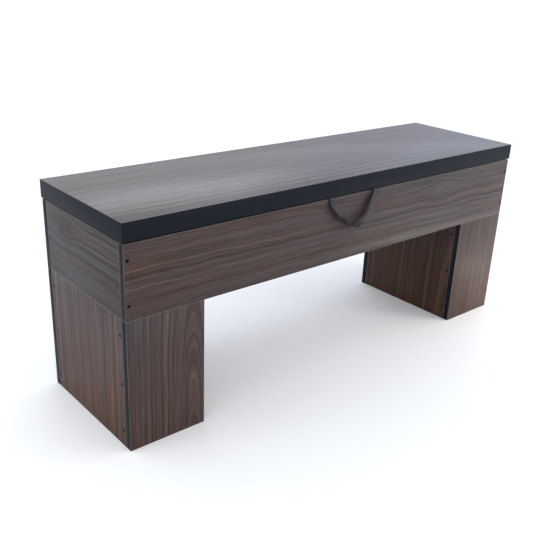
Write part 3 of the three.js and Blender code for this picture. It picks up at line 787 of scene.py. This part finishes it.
def bracket_screws():
    """Two screws through each strut bracket, into the end panel or up into the lid."""
    found = []
    for side, sign in SIDES.items():
        low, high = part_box(f"{side}_strut_box_bracket")
        middle = (low.y + high.y) / 2
        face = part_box(f"{side}_end_panel")[0 if sign > 0 else 1].x - sign * BRACKET_PLATE
        heights = (low.z + BRACKET_SCREW_MARGIN, high.z - BRACKET_SCREW_MARGIN)
        for i, height in enumerate(heights, 1):
            found.append(Screw(
                f"{side}_box_bracket_screw_{i}", Vector((face, middle, height)),
                AXES["X"] * -sign, SHORT_SCREW, "box"))
        low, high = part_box(f"{side}_strut_lid_bracket")
        middle, face = (low.y + high.y) / 2, high.z - BRACKET_PLATE
        plane = joints[f"{side}_strut_swing"]["pos_m"][0]
        for i, way in enumerate((-1, 1), 1):
            found.append(Screw(
                f"{side}_lid_bracket_screw_{i}",
                Vector((plane, middle + way * (high.y - low.y) / 4, face)),
                AXES["Z"] * -1, SHORT_SCREW, "lid"))
    return found


def clamp_screws():
    found = []
    for side in SIDES:
        low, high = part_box(f"pull_{side}_clamp")
        at = Vector(((low.x + high.x) / 2, (low.y + high.y) / 2, low.z))
        found.append(Screw(f"{side}_clamp_screw", at, AXES["Z"] * -1, SHORT_SCREW, "lid"))
    return found


screws = cad_screws() + leg_panel_screws() + hinge_screws() + bracket_screws() + clamp_screws()
hole_tools = {}


def crosses(screw, low, high):
    """Whether a screw enters the box between two corners."""
    end = screw.at - screw.out * screw.length
    return all(
        min(screw.at[i], end[i]) - SCREW_SHANK < high[i]
        and max(screw.at[i], end[i]) + SCREW_SHANK > low[i]
        for i in range(3)
    )


def drill(piece, low, high, named=""):
    """Cuts the hole of each screw that crosses the piece and whose name starts with named."""
    bits = []
    for screw in screws:
        if not (screw.name.startswith(named) and crosses(screw, low, high)):
            continue
        if screw.length not in hole_tools:
            hole_tools[screw.length] = screw_hole(screw.length)
        bits.append(copy_of(hole_tools[screw.length], "bit", aim(screw.out, screw.at)))
    if bits:
        carve(piece, merge("bits", bits))
    return piece


def drive_screws():
    """One model for each length of screw, and a copy of it, turned its own way, in each hole."""
    models = {}
    for screw in screws:
        if screw.length not in models:
            models[screw.length] = make_screw(screw.length)
        at = screw.at - screw.out * SCREW_SUNK
        placing = aim(screw.out, at, dice.uniform(0, math.pi / 2))
        driven = copy_of(models[screw.length], screw.name, placing)
        plated = "leaf" in screw.name
        paint(driven, zinc if plated else screw_black)
        fit(driven, screw.body, "steel" if plated else "black_steel", *screw.nodes)
    for model in models.values():
        discard(model)


# ---------------------------------------------------------------- boards
def make_board(node, thin, faces, edges, raw_ends=()):
    """Makes a board over its CAD node: softened arrises, drilled holes, its faces' material on
    the two wide sides, edging on the rest, and raw chipboard on raw_ends and in the holes.
    thin is the axis through the board; raw_ends are (axis, side) pairs."""
    low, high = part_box(node)
    board = soften(block(f"finished_{node}", low, high), ARRIS)
    drill(board, low, high)
    smooth(board)
    paint(board, faces, edges, arris_wear_and_highlight, raw_core)
    axis = "XYZ".index(thin)
    raw = {("XYZ".index(a), s) for a, s in raw_ends}
    for polygon in board.data.polygons:
        normal, centre = polygon.normal, polygon.center
        lead = max(range(3), key=lambda i: abs(normal[i]))
        side = 1 if normal[lead] > 0 else -1
        outer = high[lead] if side > 0 else low[lead]
        on_skin = any(
            min(abs(centre[i] - low[i]), abs(centre[i] - high[i])) < 0.9 * ARRIS for i in range(3)
        )
        flat = abs(normal[lead]) > 0.999 and abs(centre[lead] - outer) < 0.1 * ARRIS
        if flat and lead == axis:
            polygon.material_index = 0
        elif flat:
            polygon.material_index = 3 if (lead, side) in raw else 1
        elif on_skin and abs(normal[lead]) < 0.999:
            polygon.material_index = 2
        else:
            polygon.material_index = 3
    return board


def twin_board(board, node, axis, faces=None):
    """The same board on the other side of the bench, in its own veneer."""
    twin = mirrored(board, f"finished_{node}", axis)
    if faces:
        twin.data.materials[0] = faces
    return twin


def make_box_boards():
    """The box's five panels. The right end is the left one mirrored, in its own veneer."""
    looks = {
        # The front panel's slope paints it warmer at the left end and greyer towards the right, as
        # painted reflection.
        "front_panel": walnut(
            "front_panel", "X", "Y", -1, (-0.20, 0.055), 0.045, 1.0, warmth=0.38,
            painted_light_slope=(-0.95, 0), knot=(0.30, 0.035), knot_push=0.9, knot_size=30 * MM, depth=0.8,
            wave=7 * MM, lightness=1.05),
        "back_panel": walnut("back_panel", "X", "Y", 1, (0.18, 0.06), -0.03, 2.0),
        "left_end_panel": walnut(
            "left_end_panel", "Y", "X", -1, (-0.13, 0.02), -0.10, 3.0, warmth=0.12,
            knot=(0.066, 0.038), knot_push=1.5, knot_size=24 * MM, knot_dark=0.2, depth=0.85),
        "right_end_panel": walnut(
            "right_end_panel", "Y", "X", 1, (-0.12, 0.05), -0.06, 4.0, warmth=0.35),
        "bottom_panel": walnut("bottom_panel", "X", "Z", 1, (0.1, 0.05), 0.04, 5.0),
    }
    for node, thin in (("front_panel", "Y"), ("back_panel", "Y"), ("bottom_panel", "Z")):
        fit(make_board(node, thin, looks[node], black_edge), "box", "walnut", node)
    end = make_board("left_end_panel", "X", looks["left_end_panel"], black_edge)
    other = twin_board(end, "right_end_panel", "X", looks["right_end_panel"])
    fit(end, "box", "walnut", "left_end_panel")
    fit(other, "box", "walnut", "right_end_panel")


def make_leg_boards():
    """The left leg's boards, and mirrored copies of them, each in its own veneer."""
    bare = [("Z", -1), ("Z", 1)]
    for step, place in enumerate(("outer", "inner")):
        board = None
        for number, (side, sign) in enumerate(SIDES.items()):
            node = f"{side}_leg_{place}_panel"
            # Painted light and shade: the outer panels are painted lighter, for the light thrown up
            # from the floor, and the inner ones, in shade under the bench, warmer and darker.
            skin = walnut(
                node, "Z", "X", -sign if step else sign, (-0.19 + 0.05 * step, 0.04), 0.03,
                6.0 + 2 * number + step, warmth=1.1 + 0.8 * step, painted_light_slope=(-6.0, -1.5),
                wave=3 * MM, lightness=1.27 - 0.27 * step)
            if board:
                board = twin_board(board, node, "X", skin)
            else:
                board = make_board(node, "X", skin, raw_core, bare)
            fit(board, "box", "walnut", node)
    cover = rail = None
    for number, side in enumerate(SIDES):
        for step, (face, facing) in enumerate(FACES.items()):
            node = f"{side}_leg_{face}_cover"
            rail_node = f"{side}_leg_{face}_rail"
            middle = (0.14, 0.03) if number else (0.059, 0.024)
            # The slope paints each cover warmer towards the bottom, as painted light from the floor.
            skin = walnut(
                node, "Z", "Y", facing, middle, 0.09, 10.0 + 2 * number + step,
                warmth=0.8 - 0.3 * number, painted_light_slope=(-3.0, 0), depth=0.9, wave=3 * MM, line=9 * MM,
                lightness=1.08 - 0.2 * number)
            if not cover:
                cover = make_board(node, "Y", skin, black_edge, bare)
                rail = make_board(rail_node, "Y", raw_core, raw_core, bare)
            else:
                # front to back on one leg, then across to the other leg's front
                axis = "Y" if step else "XY"
                cover = twin_board(cover, node, axis, skin)
                rail = twin_board(rail, rail_node, axis)
            fit(cover, "box", "walnut", node)
            fit(rail, "box", "board_core", rail_node)


def make_lid_boards():
    """The lid's two boards and the black bands round them."""
    top = walnut(
        "lid_top_board", "X", "Z", 1, (-0.32, 0.06), 0.05, 20.0, warmth=-0.05, depth=1.15,
        gloss=0.24, wave=6 * MM, line=10 * MM, index=1.36, lightness=0.92)
    under = walnut("lid_base_board", "X", "Z", -1, (0.3, 0.05), 0.03, 21.0)
    for node, skin in (("lid_top_board", top), ("lid_base_board", under)):
        fit(make_board(node, "Z", skin, raw_core), "lid", "walnut", node)
    for first, other, axis in (("front", "back", "Y"), ("left", "right", "X")):
        node = f"lid_{first}_band"
        band = smooth(soften(block(f"finished_{node}", *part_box(node)), BAND_ARRIS, 3))
        paint(band, black_edge)
        twin = mirrored(band, f"finished_lid_{other}_band", axis)
        fit(band, "lid", "black_band", node)
        fit(twin, "lid", "black_band", f"lid_{other}_band")


# ---------------------------------------------------------------- hinges
def corner_edges(piece, wanted, radius, segments=5):
    """Rounds the upright corners picked by wanted(edge)."""
    select_only(piece)
    bpy.ops.object.mode_set(mode="EDIT")
    bpy.ops.mesh.select_mode(type="EDGE")
    bpy.ops.mesh.select_all(action="DESELECT")
    mesh = bmesh.from_edit_mesh(piece.data)
    for edge in mesh.edges:
        edge.select = wanted(edge)
    bmesh.update_edit_mesh(piece.data)
    bpy.ops.mesh.bevel(offset=radius, segments=segments, affect="EDGES")
    bpy.ops.object.mode_set(mode="OBJECT")
    return piece


def edge_along(edge, axis):
    run = edge.verts[1].co - edge.verts[0].co
    return abs(run.normalized().dot(AXES[axis])) > 0.99


def make_leaf(leaf):
    """One leaf of the left hinge with its share of the knuckles, at its place in the frame."""
    node = f"left_hinge_{leaf}_leaf"
    low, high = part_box(node)
    up = 1 if leaf == "fixed" else -1
    length = high.x - low.x
    face = hinge_line.z - up * LEAF_STAND_OFF
    plate_low = Vector((low.x, low.y, min(face, face - up * HINGE_LEAF)))
    inner_edge = hinge_line.y - KNUCKLE_RADIUS - LEAF_TO_KNUCKLE
    plate_high = Vector((high.x, inner_edge, plate_low.z + HINGE_LEAF))
    plate = block(f"finished_{node}", plate_low, plate_high)
    corner_edges(
        plate,
        lambda e: edge_along(e, "Z") and e.verts[0].co.y < plate_low.y + 1 * MM,
        HINGE_CORNER,
    )
    pitch = length / KNUCKLES
    for i in range(0 if leaf == "fixed" else 1, KNUCKLES, 2):
        start = low.x + i * pitch + KNUCKLE_GAP / 2
        end = start + pitch - KNUCKLE_GAP
        tab = block("tab", (start, plate_high.y - 1 * MM, plate_low.z),
                    (end, hinge_line.y, plate_high.z))
        carve(plate, tab, "UNION")
        barrel = turned("barrel", round_edge(KNUCKLE_RADIUS, 0, KNUCKLE_EDGE, 2)
                        + round_edge(KNUCKLE_RADIUS, end - start, -KNUCKLE_EDGE, 2))
        move(barrel, aim(AXES["X"], (start, hinge_line.y, hinge_line.z)))
        carve(plate, barrel, "UNION")
    radius = PIN_RADIUS + PIN_CLEARANCE
    bore = turned("bore", [(radius, 0), (radius, length + 4 * MM)])
    move(bore, aim(AXES["X"], (low.x - 2 * MM, hinge_line.y, hinge_line.z)))
    carve(plate, bore)
    drill(plate, plate_low, plate_high, f"left_{leaf}_leaf")
    return paint(smooth(plate), zinc)


def make_hinges():
    """The left hinge, and a copy of it moved along to the right."""
    for leaf, body in (("fixed", "box"), ("moving", "lid")):
        node = f"left_hinge_{leaf}_leaf"
        fit_pair(make_leaf(leaf), body, "steel", node, to_right(node))
    node = "left_hinge_pin"
    low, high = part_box(node)
    length = high.x - low.x
    pin = turned(
        f"finished_{node}",
        [(PIN_TIP, 0)] + round_edge(PIN_RADIUS, 0, PIN_DOME)
        + round_edge(PIN_RADIUS, length, -PIN_DOME) + [(PIN_TIP, length)],
    )
    move(pin, aim(AXES["X"], (low.x, hinge_line.y, hinge_line.z)))
    fit_pair(paint(smooth(pin), zinc), "box", "steel", node, to_right(node))


# ---------------------------------------------------------------- gas struts
def socket_body(name, centre, away, cup_side):
    """A moulded ball socket: a short drum across the strut with a neck along it. cup_side is
    the side, along X, that its cup opens to, or 0 for a closed one."""
    half = SOCKET_WIDTH / 2
    drum = turned(name, round_edge(SOCKET_RADIUS, -half, SOCKET_EDGE)
                  + round_edge(SOCKET_RADIUS, half, -SOCKET_EDGE), 48)
    move(drum, aim(AXES["X"]))
    collar = NECK_RADIUS + 0.7 * MM
    neck = turned("neck", [
        (NECK_RADIUS, 2 * MM), (NECK_RADIUS, 9 * MM), (collar, 10 * MM),
        (collar, 13 * MM), (NECK_RADIUS, 13.5 * MM), (NECK_RADIUS, 14.5 * MM),
    ], 48)
    move(neck, aim(away))
    carve(drum, neck, "UNION")
    if cup_side:
        cup = turned("cup", [(CUP_RADIUS, 0), (CUP_RADIUS, 9 * MM)], 48)
        move(cup, aim(AXES["X"] * cup_side, AXES["X"] * -cup_side * CUP_RADIUS))
        carve(drum, cup)
    move(drum, Matrix.Translation(centre))
    return paint(smooth(drum), socket_plastic)


def ball_stud(length):
    """A collar, a waist and a ball, standing on the origin."""
    ball = length - BALL_RADIUS
    waist = 2.2 * MM
    start = math.asin(waist / BALL_RADIUS)
    angles = [math.pi - start - (math.pi - start - 0.12) * i / 10 for i in range(11)]
    outline = [(4 * MM, 0), (4 * MM, 0.8 * MM), (3.7 * MM, 1 * MM), (waist, 1 * MM)]
    outline += [(BALL_RADIUS * math.sin(a), ball + BALL_RADIUS * math.cos(a)) for a in angles]
    return turned("stud", outline, 40)


def make_struts():
    """The left strut and its brackets, and mirrored copies at the right."""
    foot = Vector(joints["left_strut_swing"]["pos_m"])
    away = Vector(joints["left_strut_slide"]["axis"])
    low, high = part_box("left_strut_lid_bracket")
    head = foot + away * (((low.y + high.y) / 2 - foot.y) / away.y)
    length = (head - foot).length

    tube_end = length - TUBE_STOPS_SHORT
    groove = TUBE_RADIUS - 0.5 * MM
    bore = ROD_RADIUS + 0.1 * MM
    outline = [(4.4 * MM, TUBE_START)] + round_edge(TUBE_RADIUS, TUBE_START, 2 * MM, 6)
    outline += [(TUBE_RADIUS, tube_end - 9 * MM), (groove, tube_end - 8.2 * MM),
                (groove, tube_end - 7.4 * MM), (TUBE_RADIUS, tube_end - 6.6 * MM)]
    outline += round_edge(TUBE_RADIUS, tube_end, -1.6 * MM, 6)
    outline += [(bore + 1.2 * MM, tube_end), (bore, tube_end - 0.5 * MM),
                (bore, tube_end - BORE_DEPTH)]
    tube = turned("finished_left_strut_tube", outline, 56)
    move(tube, aim(away, foot))
    fit_pair(
        paint(smooth(tube), black_paint), "left_strut_tube", "black_steel", "left_strut_cylinder")
    foot_socket = socket_body("left_strut_foot_socket", foot, away, SIDES["left"])
    fit_pair(foot_socket, "left_strut_tube", "black_steel")

    rod_start = tube_end - ROD_IN_TUBE
    shoulder = length - ROD_SHOULDER
    rod = turned("finished_left_strut_rod", [
        (ROD_RADIUS - 0.5 * MM, rod_start), (ROD_RADIUS, rod_start + 0.5 * MM),
        (ROD_RADIUS, shoulder), (THREAD_RADIUS, shoulder + 0.6 * MM),
        (THREAD_RADIUS, length - 6 * MM),
    ], 40)
    move(rod, aim(away, foot))
    fit_pair(paint(smooth(rod), polished_rod), "left_strut_rod", "steel", "left_strut_rod")
    head_socket = socket_body("left_strut_head_socket", head, away * -1, 0)
    fit_pair(head_socket, "left_strut_rod", "steel")

    make_box_bracket(foot)
    make_lid_bracket(head)


def make_box_bracket(foot):
    """A plate on the end panel with a ball stud, which stands out into the foot's socket."""
    node = "left_strut_box_bracket"
    low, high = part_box(node)
    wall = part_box("left_end_panel")[1].x
    face = wall + BRACKET_PLATE
    low, high = Vector((wall, low.y, low.z)), Vector((face, high.y, high.z))
    plate = block(f"finished_{node}", low, high)
    corner_edges(plate, lambda e: edge_along(e, "X"), BRACKET_CORNER)
    soften(plate, METAL_ARRIS)
    root = wall + (BRACKET_PLATE - BALL_STUD_ROOT)
    stud = ball_stud(foot.x - root + BALL_RADIUS)
    move(stud, aim(AXES["X"], (root, foot.y, foot.z)))
    carve(plate, stud, "UNION")
    drill(plate, low, high, "left_box_bracket")
    fit_pair(paint(smooth(plate), black_paint), "box", "black_steel", node)


def make_lid_bracket(head):
    """A foot screwed up into the lid, and a cheek that hangs from it with a plain stud."""
    node = "left_strut_lid_bracket"
    low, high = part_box(node)
    foot_low = Vector((low.x, low.y, high.z - BRACKET_PLATE))
    plate = block(f"finished_{node}", foot_low, high)
    corner_edges(
        plate,
        lambda e: edge_along(e, "Z") and high.x - e.verts[0].co.x > 5 * MM,
        BRACKET_CORNER,
    )
    cheek_face = high.x - BRACKET_PLATE
    cheek = block("cheek", (cheek_face, low.y, low.z), high)
    corner_edges(
        cheek,
        lambda e: edge_along(e, "X") and e.verts[0].co.z < low.z + 1 * MM,
        BRACKET_CORNER,
    )
    carve(plate, cheek, "UNION")
    stud_face = head.x + (SOCKET_WIDTH / 2 + SOCKET_PLAY)
    reach = cheek_face - stud_face + CHEEK_STUD_ROOT
    stud = turned("stud", [(4.2 * MM, 0), (4.2 * MM, 1.1 * MM), (BALL_RADIUS, 1.3 * MM)]
                  + round_edge(BALL_RADIUS, reach, -0.4 * MM), 40)
    root = high.x - (BRACKET_PLATE - CHEEK_STUD_ROOT)
    move(stud, aim(AXES["X"] * -1, (root, head.y, head.z)))
    carve(plate, stud, "UNION")
    drill(plate, foot_low, high, "left_lid_bracket")
    fit_pair(paint(smooth(plate), black_paint), "lid", "black_steel", node)


# ---------------------------------------------------------------- ribbon pull
def ribbon_route(left, panel, top, tab_back):
    """Stations along the ribbon's middle, each a place and a turn about it. It runs out from
    the left clamp, over the front panel's top edge, down, round and back to the right one,
    and takes half a turn on the way."""
    low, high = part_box("pull_right_tab")
    right = (low.x + high.x) / 2
    hang = [
        # mm along from the left tab, mm down, turn in degrees, mm out from the panel
        (0, 1, 0, 3.5),
        (0, 5, -3, 7),
        (0.5, 11, -12, 8.5),
        (4, 19, -25, 9.5),
        (9, 28, -45, 10.5),
        (17, 38, -68, 11.5),
        (27, 50, -86, 12),
        (37, 61, -94, 12),
        (49, 68.5, -96, 12),
        (62, 72, -102, 12),
        (75, 69.5, -122, 12),
        (87, 63.5, -138, 11.5),
        (98.5, 54, -146, 10.5),
        (106, 43.5, -149, 10),
        (110, 31, -152, 9),
        (116, 20, -160, 8),
        (123, 11, -172, 7),
        (128, 5, -180, 6),
        (129, 1, -180, 3.5),
    ]
    tab = [tab_back, (tab_back + panel) / 2, panel + 2 * MM]
    points = [Vector((left, y, top, 0)) for y in tab]
    for along, down, turn, off in hang:
        points.append(Vector((
            left + along * MM, panel - off * MM, top - down * MM, math.radians(turn))))
    points += [Vector((right, y, top, -math.pi)) for y in reversed(tab)]
    return points


def section_turns(spot, left, top):
    """The turn of the ribbon's surface at each step across it. Just under the lid, the outer
    part of the left strand is folded back along a slanting crease."""
    down = (top - spot.z) / FOLD_REACH
    if spot.x > left + RIBBON_WIDTH or not 0 < down < 1:
        return [spot.w] * RIBBON_COLUMNS
    crease = 0.6 - 2.0 * down
    fold = FOLD_TURN * min(1, down / 0.25)
    turns = []
    for j in range(RIBBON_COLUMNS):
        share = (2 * j + 1) / RIBBON_COLUMNS - 1
        back = min(1, max(0, (crease - share) / 0.3 + 0.5))
        turns.append(spot.w + fold * back)
    return turns


def smooth_run(points, count):
    """Evenly spaced points on a smooth curve through the given ones."""
    dense = []
    padded = [2 * points[0] - points[1]] + points + [2 * points[-1] - points[-2]]
    for a, b, c, d in zip(padded, padded[1:], padded[2:], padded[3:]):
        for step in range(16):
            t = step / 16
            dense.append(0.5 * (
                2 * b + (c - a) * t + (2 * a - 5 * b + 4 * c - d) * t * t
                + (3 * b - a - 3 * c + d) * t * t * t))
    dense.append(points[-1])
    reach = [0.0]
    for a, b in zip(dense, dense[1:]):
        reach.append(reach[-1] + (b.xyz - a.xyz).length)
    spaced, at = [], 0
    for i in range(count):
        want = reach[-1] * i / (count - 1)
        while at < len(reach) - 2 and reach[at + 1] < want:
            at += 1
        share = (want - reach[at]) / max(reach[at + 1] - reach[at], 1e-9)
        spaced.append(dense[at].lerp(dense[at + 1], min(1, share)))
    return spaced, reach[-1]


def make_ribbon():
    """The ribbon as one sheet, laid along its route row by row, then given its thickness."""
    tab_low, tab_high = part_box("pull_left_tab")
    left = (tab_low.x + tab_high.x) / 2
    top = tab_high.z - RIBBON_THICKNESS / 2
    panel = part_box("front_panel")[0].y
    spaced, length = smooth_run(ribbon_route(left, panel, top, tab_high.y), RIBBON_ROWS)
    mesh = bpy.data.meshes.new("ribbon")
    ribbon = bpy.data.objects.new("woven_pull_ribbon", mesh)
    bpy.context.scene.collection.objects.link(ribbon)
    bm = bmesh.new()
    weave = bm.loops.layers.uv.new("weave")
    rows = []
    for i, spot in enumerate(spaced):
        before, after = spaced[max(i - 1, 0)], spaced[min(i + 1, RIBBON_ROWS - 1)]
        run = (after.xyz - before.xyz).normalized()
        in_panel = Vector((-run.z, 0, run.x))
        lying = AXES["X"] if i < RIBBON_ROWS / 2 else -AXES["X"]
        flat = lying if in_panel.length < 0.25 else in_panel.normalized()
        hanging = min(1, max(0, (top - spot.z) / SETTLED))
        hanging = hanging * hanging * (3 - 2 * hanging)
        flat = lying.lerp(flat, hanging).normalized()
        reach = [Vector((0, 0, 0))]
        for turn in section_turns(spot, left, top):
            across = (flat * math.cos(turn) - AXES["Y"] * math.sin(turn)).normalized()
            reach.append(reach[-1] + across * (RIBBON_WIDTH / RIBBON_COLUMNS))
        middle = reach[RIBBON_COLUMNS // 2]
        rows.append([bm.verts.new(spot.xyz + at - middle) for at in reach])
    for i, (row, following) in enumerate(zip(rows, rows[1:])):
        for j in range(RIBBON_COLUMNS):
            face = bm.faces.new((row[j], row[j + 1], following[j + 1], following[j]))
            spots = ((j, i), (j + 1, i), (j + 1, i + 1), (j, i + 1))
            for loop, (a, l) in zip(face.loops, spots):
                loop[weave].uv = (
                    (a / RIBBON_COLUMNS - 0.5) * RIBBON_WIDTH, l * length / (RIBBON_ROWS - 1))
    bm.to_mesh(mesh)
    bm.free()
    modify(ribbon, "SOLIDIFY", thickness=RIBBON_THICKNESS, offset=0)
    modify(ribbon, "BEVEL", width=0.3 * MM, segments=2, limit_method="ANGLE",
           angle_limit=math.radians(60))
    paint(smooth(ribbon, 50), ribbon_cloth)
    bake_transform(ribbon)
    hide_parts("pull_ribbon", "pull_left_tab", "pull_right_tab")


def make_clamps():
    """The left clamp plate for the ribbon's end, and a copy of it at the right."""
    node = "pull_left_clamp"
    low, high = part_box(node)
    plate = block(f"finished_{node}", low, high)
    corner_edges(plate, lambda e: edge_along(e, "Z"), CLAMP_CORNER)
    soften(plate, METAL_ARRIS)
    drill(plate, low, high, "left_clamp")
    fit_pair(paint(smooth(plate), black_paint), "lid", "black_steel", node, to_right(node))


def make_bumpers():
    """The left rubber bumper, and a copy of it at the right."""
    node = "left_bumper"
    low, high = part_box(node)
    middle, radius = (low + high) / 2, (high.x - low.x) / 2
    bumper = turned(
        f"finished_{node}",
        [(radius, 0), (radius, 0.9 * MM)] + round_edge(radius, high.z - low.z, -1.2 * MM, 6),
        40,
    )
    move(bumper, Matrix.Translation((middle.x, middle.y, low.z)))
    fit_pair(paint(smooth(bumper), bumper_rubber), "box", "rubber", node, to_right(node))


# ---------------------------------------------------------------- floor, light and camera
def make_stage():
    """A pale floor, and a sky that is cooler and brighter beyond the bench's right end."""
    clear_selection()
    bpy.ops.mesh.primitive_plane_add(size=80, location=(0, 0, 0))
    floor = settle(bpy.context.object, "studio_floor")
    material, tree, shader, place = blank_material("floor_paper", 0.95)
    seen = put(tree, "ShaderNodeLightPath").outputs["Is Camera Ray"]
    cloud = noise(tree, place, scale=1.5)
    pale = blend_colours(tree, cloud, (0.96, 0.96, 0.96), (0.98, 0.98, 0.98))
    colour = blend_colours(tree, seen, (0.37, 0.37, 0.37), pale)
    feed(shader, {"Base Color": colour, "Specular IOR Level": 0.1})
    paint(floor, material)

    world = bpy.data.worlds.new("studio")
    bpy.context.scene.world = world
    world.use_nodes = True
    tree = world.node_tree
    way = parts_of(tree, put(tree, "ShaderNodeTexCoord").outputs["Generated"])
    bearing = times(tree, maths(tree, "ARCTAN2", way["X"], way["Y"]), 180 / math.pi)
    sky = blend_colours(
        tree, spread(tree, bearing, 36, 48), (0.96, 1.0, 1.06), (0.98, 0.96, 1.15)
    )
    sky = blend_colours(tree, spread(tree, bearing, 49, 57), sky, (1.05, 1.16, 1.40))
    sky = blend_colours(tree, spread(tree, bearing, 70, 110), sky, (1.0, 1.0, 1.0))
    lift = spread(tree, way["Z"], 0.24, 0.46, 0.79, 1.35)
    lift = times(tree, lift, spread(tree, way["Z"], 0.45, 0.70, 1.0, 0.80))
    # a pale card up behind the bench, which the lid's near corner reflects
    card = times(tree, spread(tree, bearing, 8, 22), spread(tree, bearing, 36, 50, 1, 0))
    card = times(tree, card, spread(tree, way["Z"], 0.38, 0.48))
    card = times(tree, card, spread(tree, way["Z"], 0.60, 0.72, 1, 0))
    sky = dimmed(tree, sky, maths(tree, "MULTIPLY_ADD", card, 2.0, lift))
    seen = put(tree, "ShaderNodeLightPath").outputs["Is Camera Ray"]
    sky = blend_colours(tree, seen, sky, (1.0, 1.0, 1.0))
    feed(tree.nodes["Background"], {"Color": sky, "Strength": 1.0})


def add_soft_light(name, place, target, size, power, colour=(1, 1, 1)):
    data = bpy.data.lights.new(name, "AREA")
    data.shape = "RECTANGLE"
    data.size, data.size_y = size
    data.energy = power
    data.color = colour
    lamp = bpy.data.objects.new(name, data)
    bpy.context.scene.collection.objects.link(lamp)
    lamp.location = place
    lamp.visible_camera = False
    lamp.visible_glossy = False
    lamp.rotation_euler = (Vector(place) - Vector(target)).to_track_quat("Z", "Y").to_euler()


def make_camera():
    data = bpy.data.cameras.new("camera")
    data.sensor_width = 36
    data.lens = 48.77
    camera = bpy.data.objects.new("camera", data)
    bpy.context.scene.collection.objects.link(camera)
    camera.location = (-1.1217, -1.1873, 0.8532)
    camera.rotation_euler = (1.1725, -0.0407, -0.7016)
    bpy.context.scene.camera = camera


make_camera()
make_box_boards()
make_leg_boards()
make_lid_boards()
make_hinges()
make_struts()
make_ribbon()
make_clamps()
make_bumpers()
drive_screws()
for tool in hole_tools.values():
    discard(tool)
make_stage()
add_soft_light("right_softbox", (1.6, -1.7, 0.9), (0.3, -0.15, 0.3), (0.6, 0.6), 7.5)
add_soft_light(
    "bounce_card", (0.74, -0.48, 0.02), (0.48, -0.15, 0.05), (0.35, 0.2), 4.0, (1.0, 0.90, 0.80))
add_soft_light("left_softbox", (-2.0, 0.3, 0.9), (-0.55, 0, 0.25), (0.8, 0.8), 5.5)
bpy.context.scene.view_settings.view_transform = "Standard"
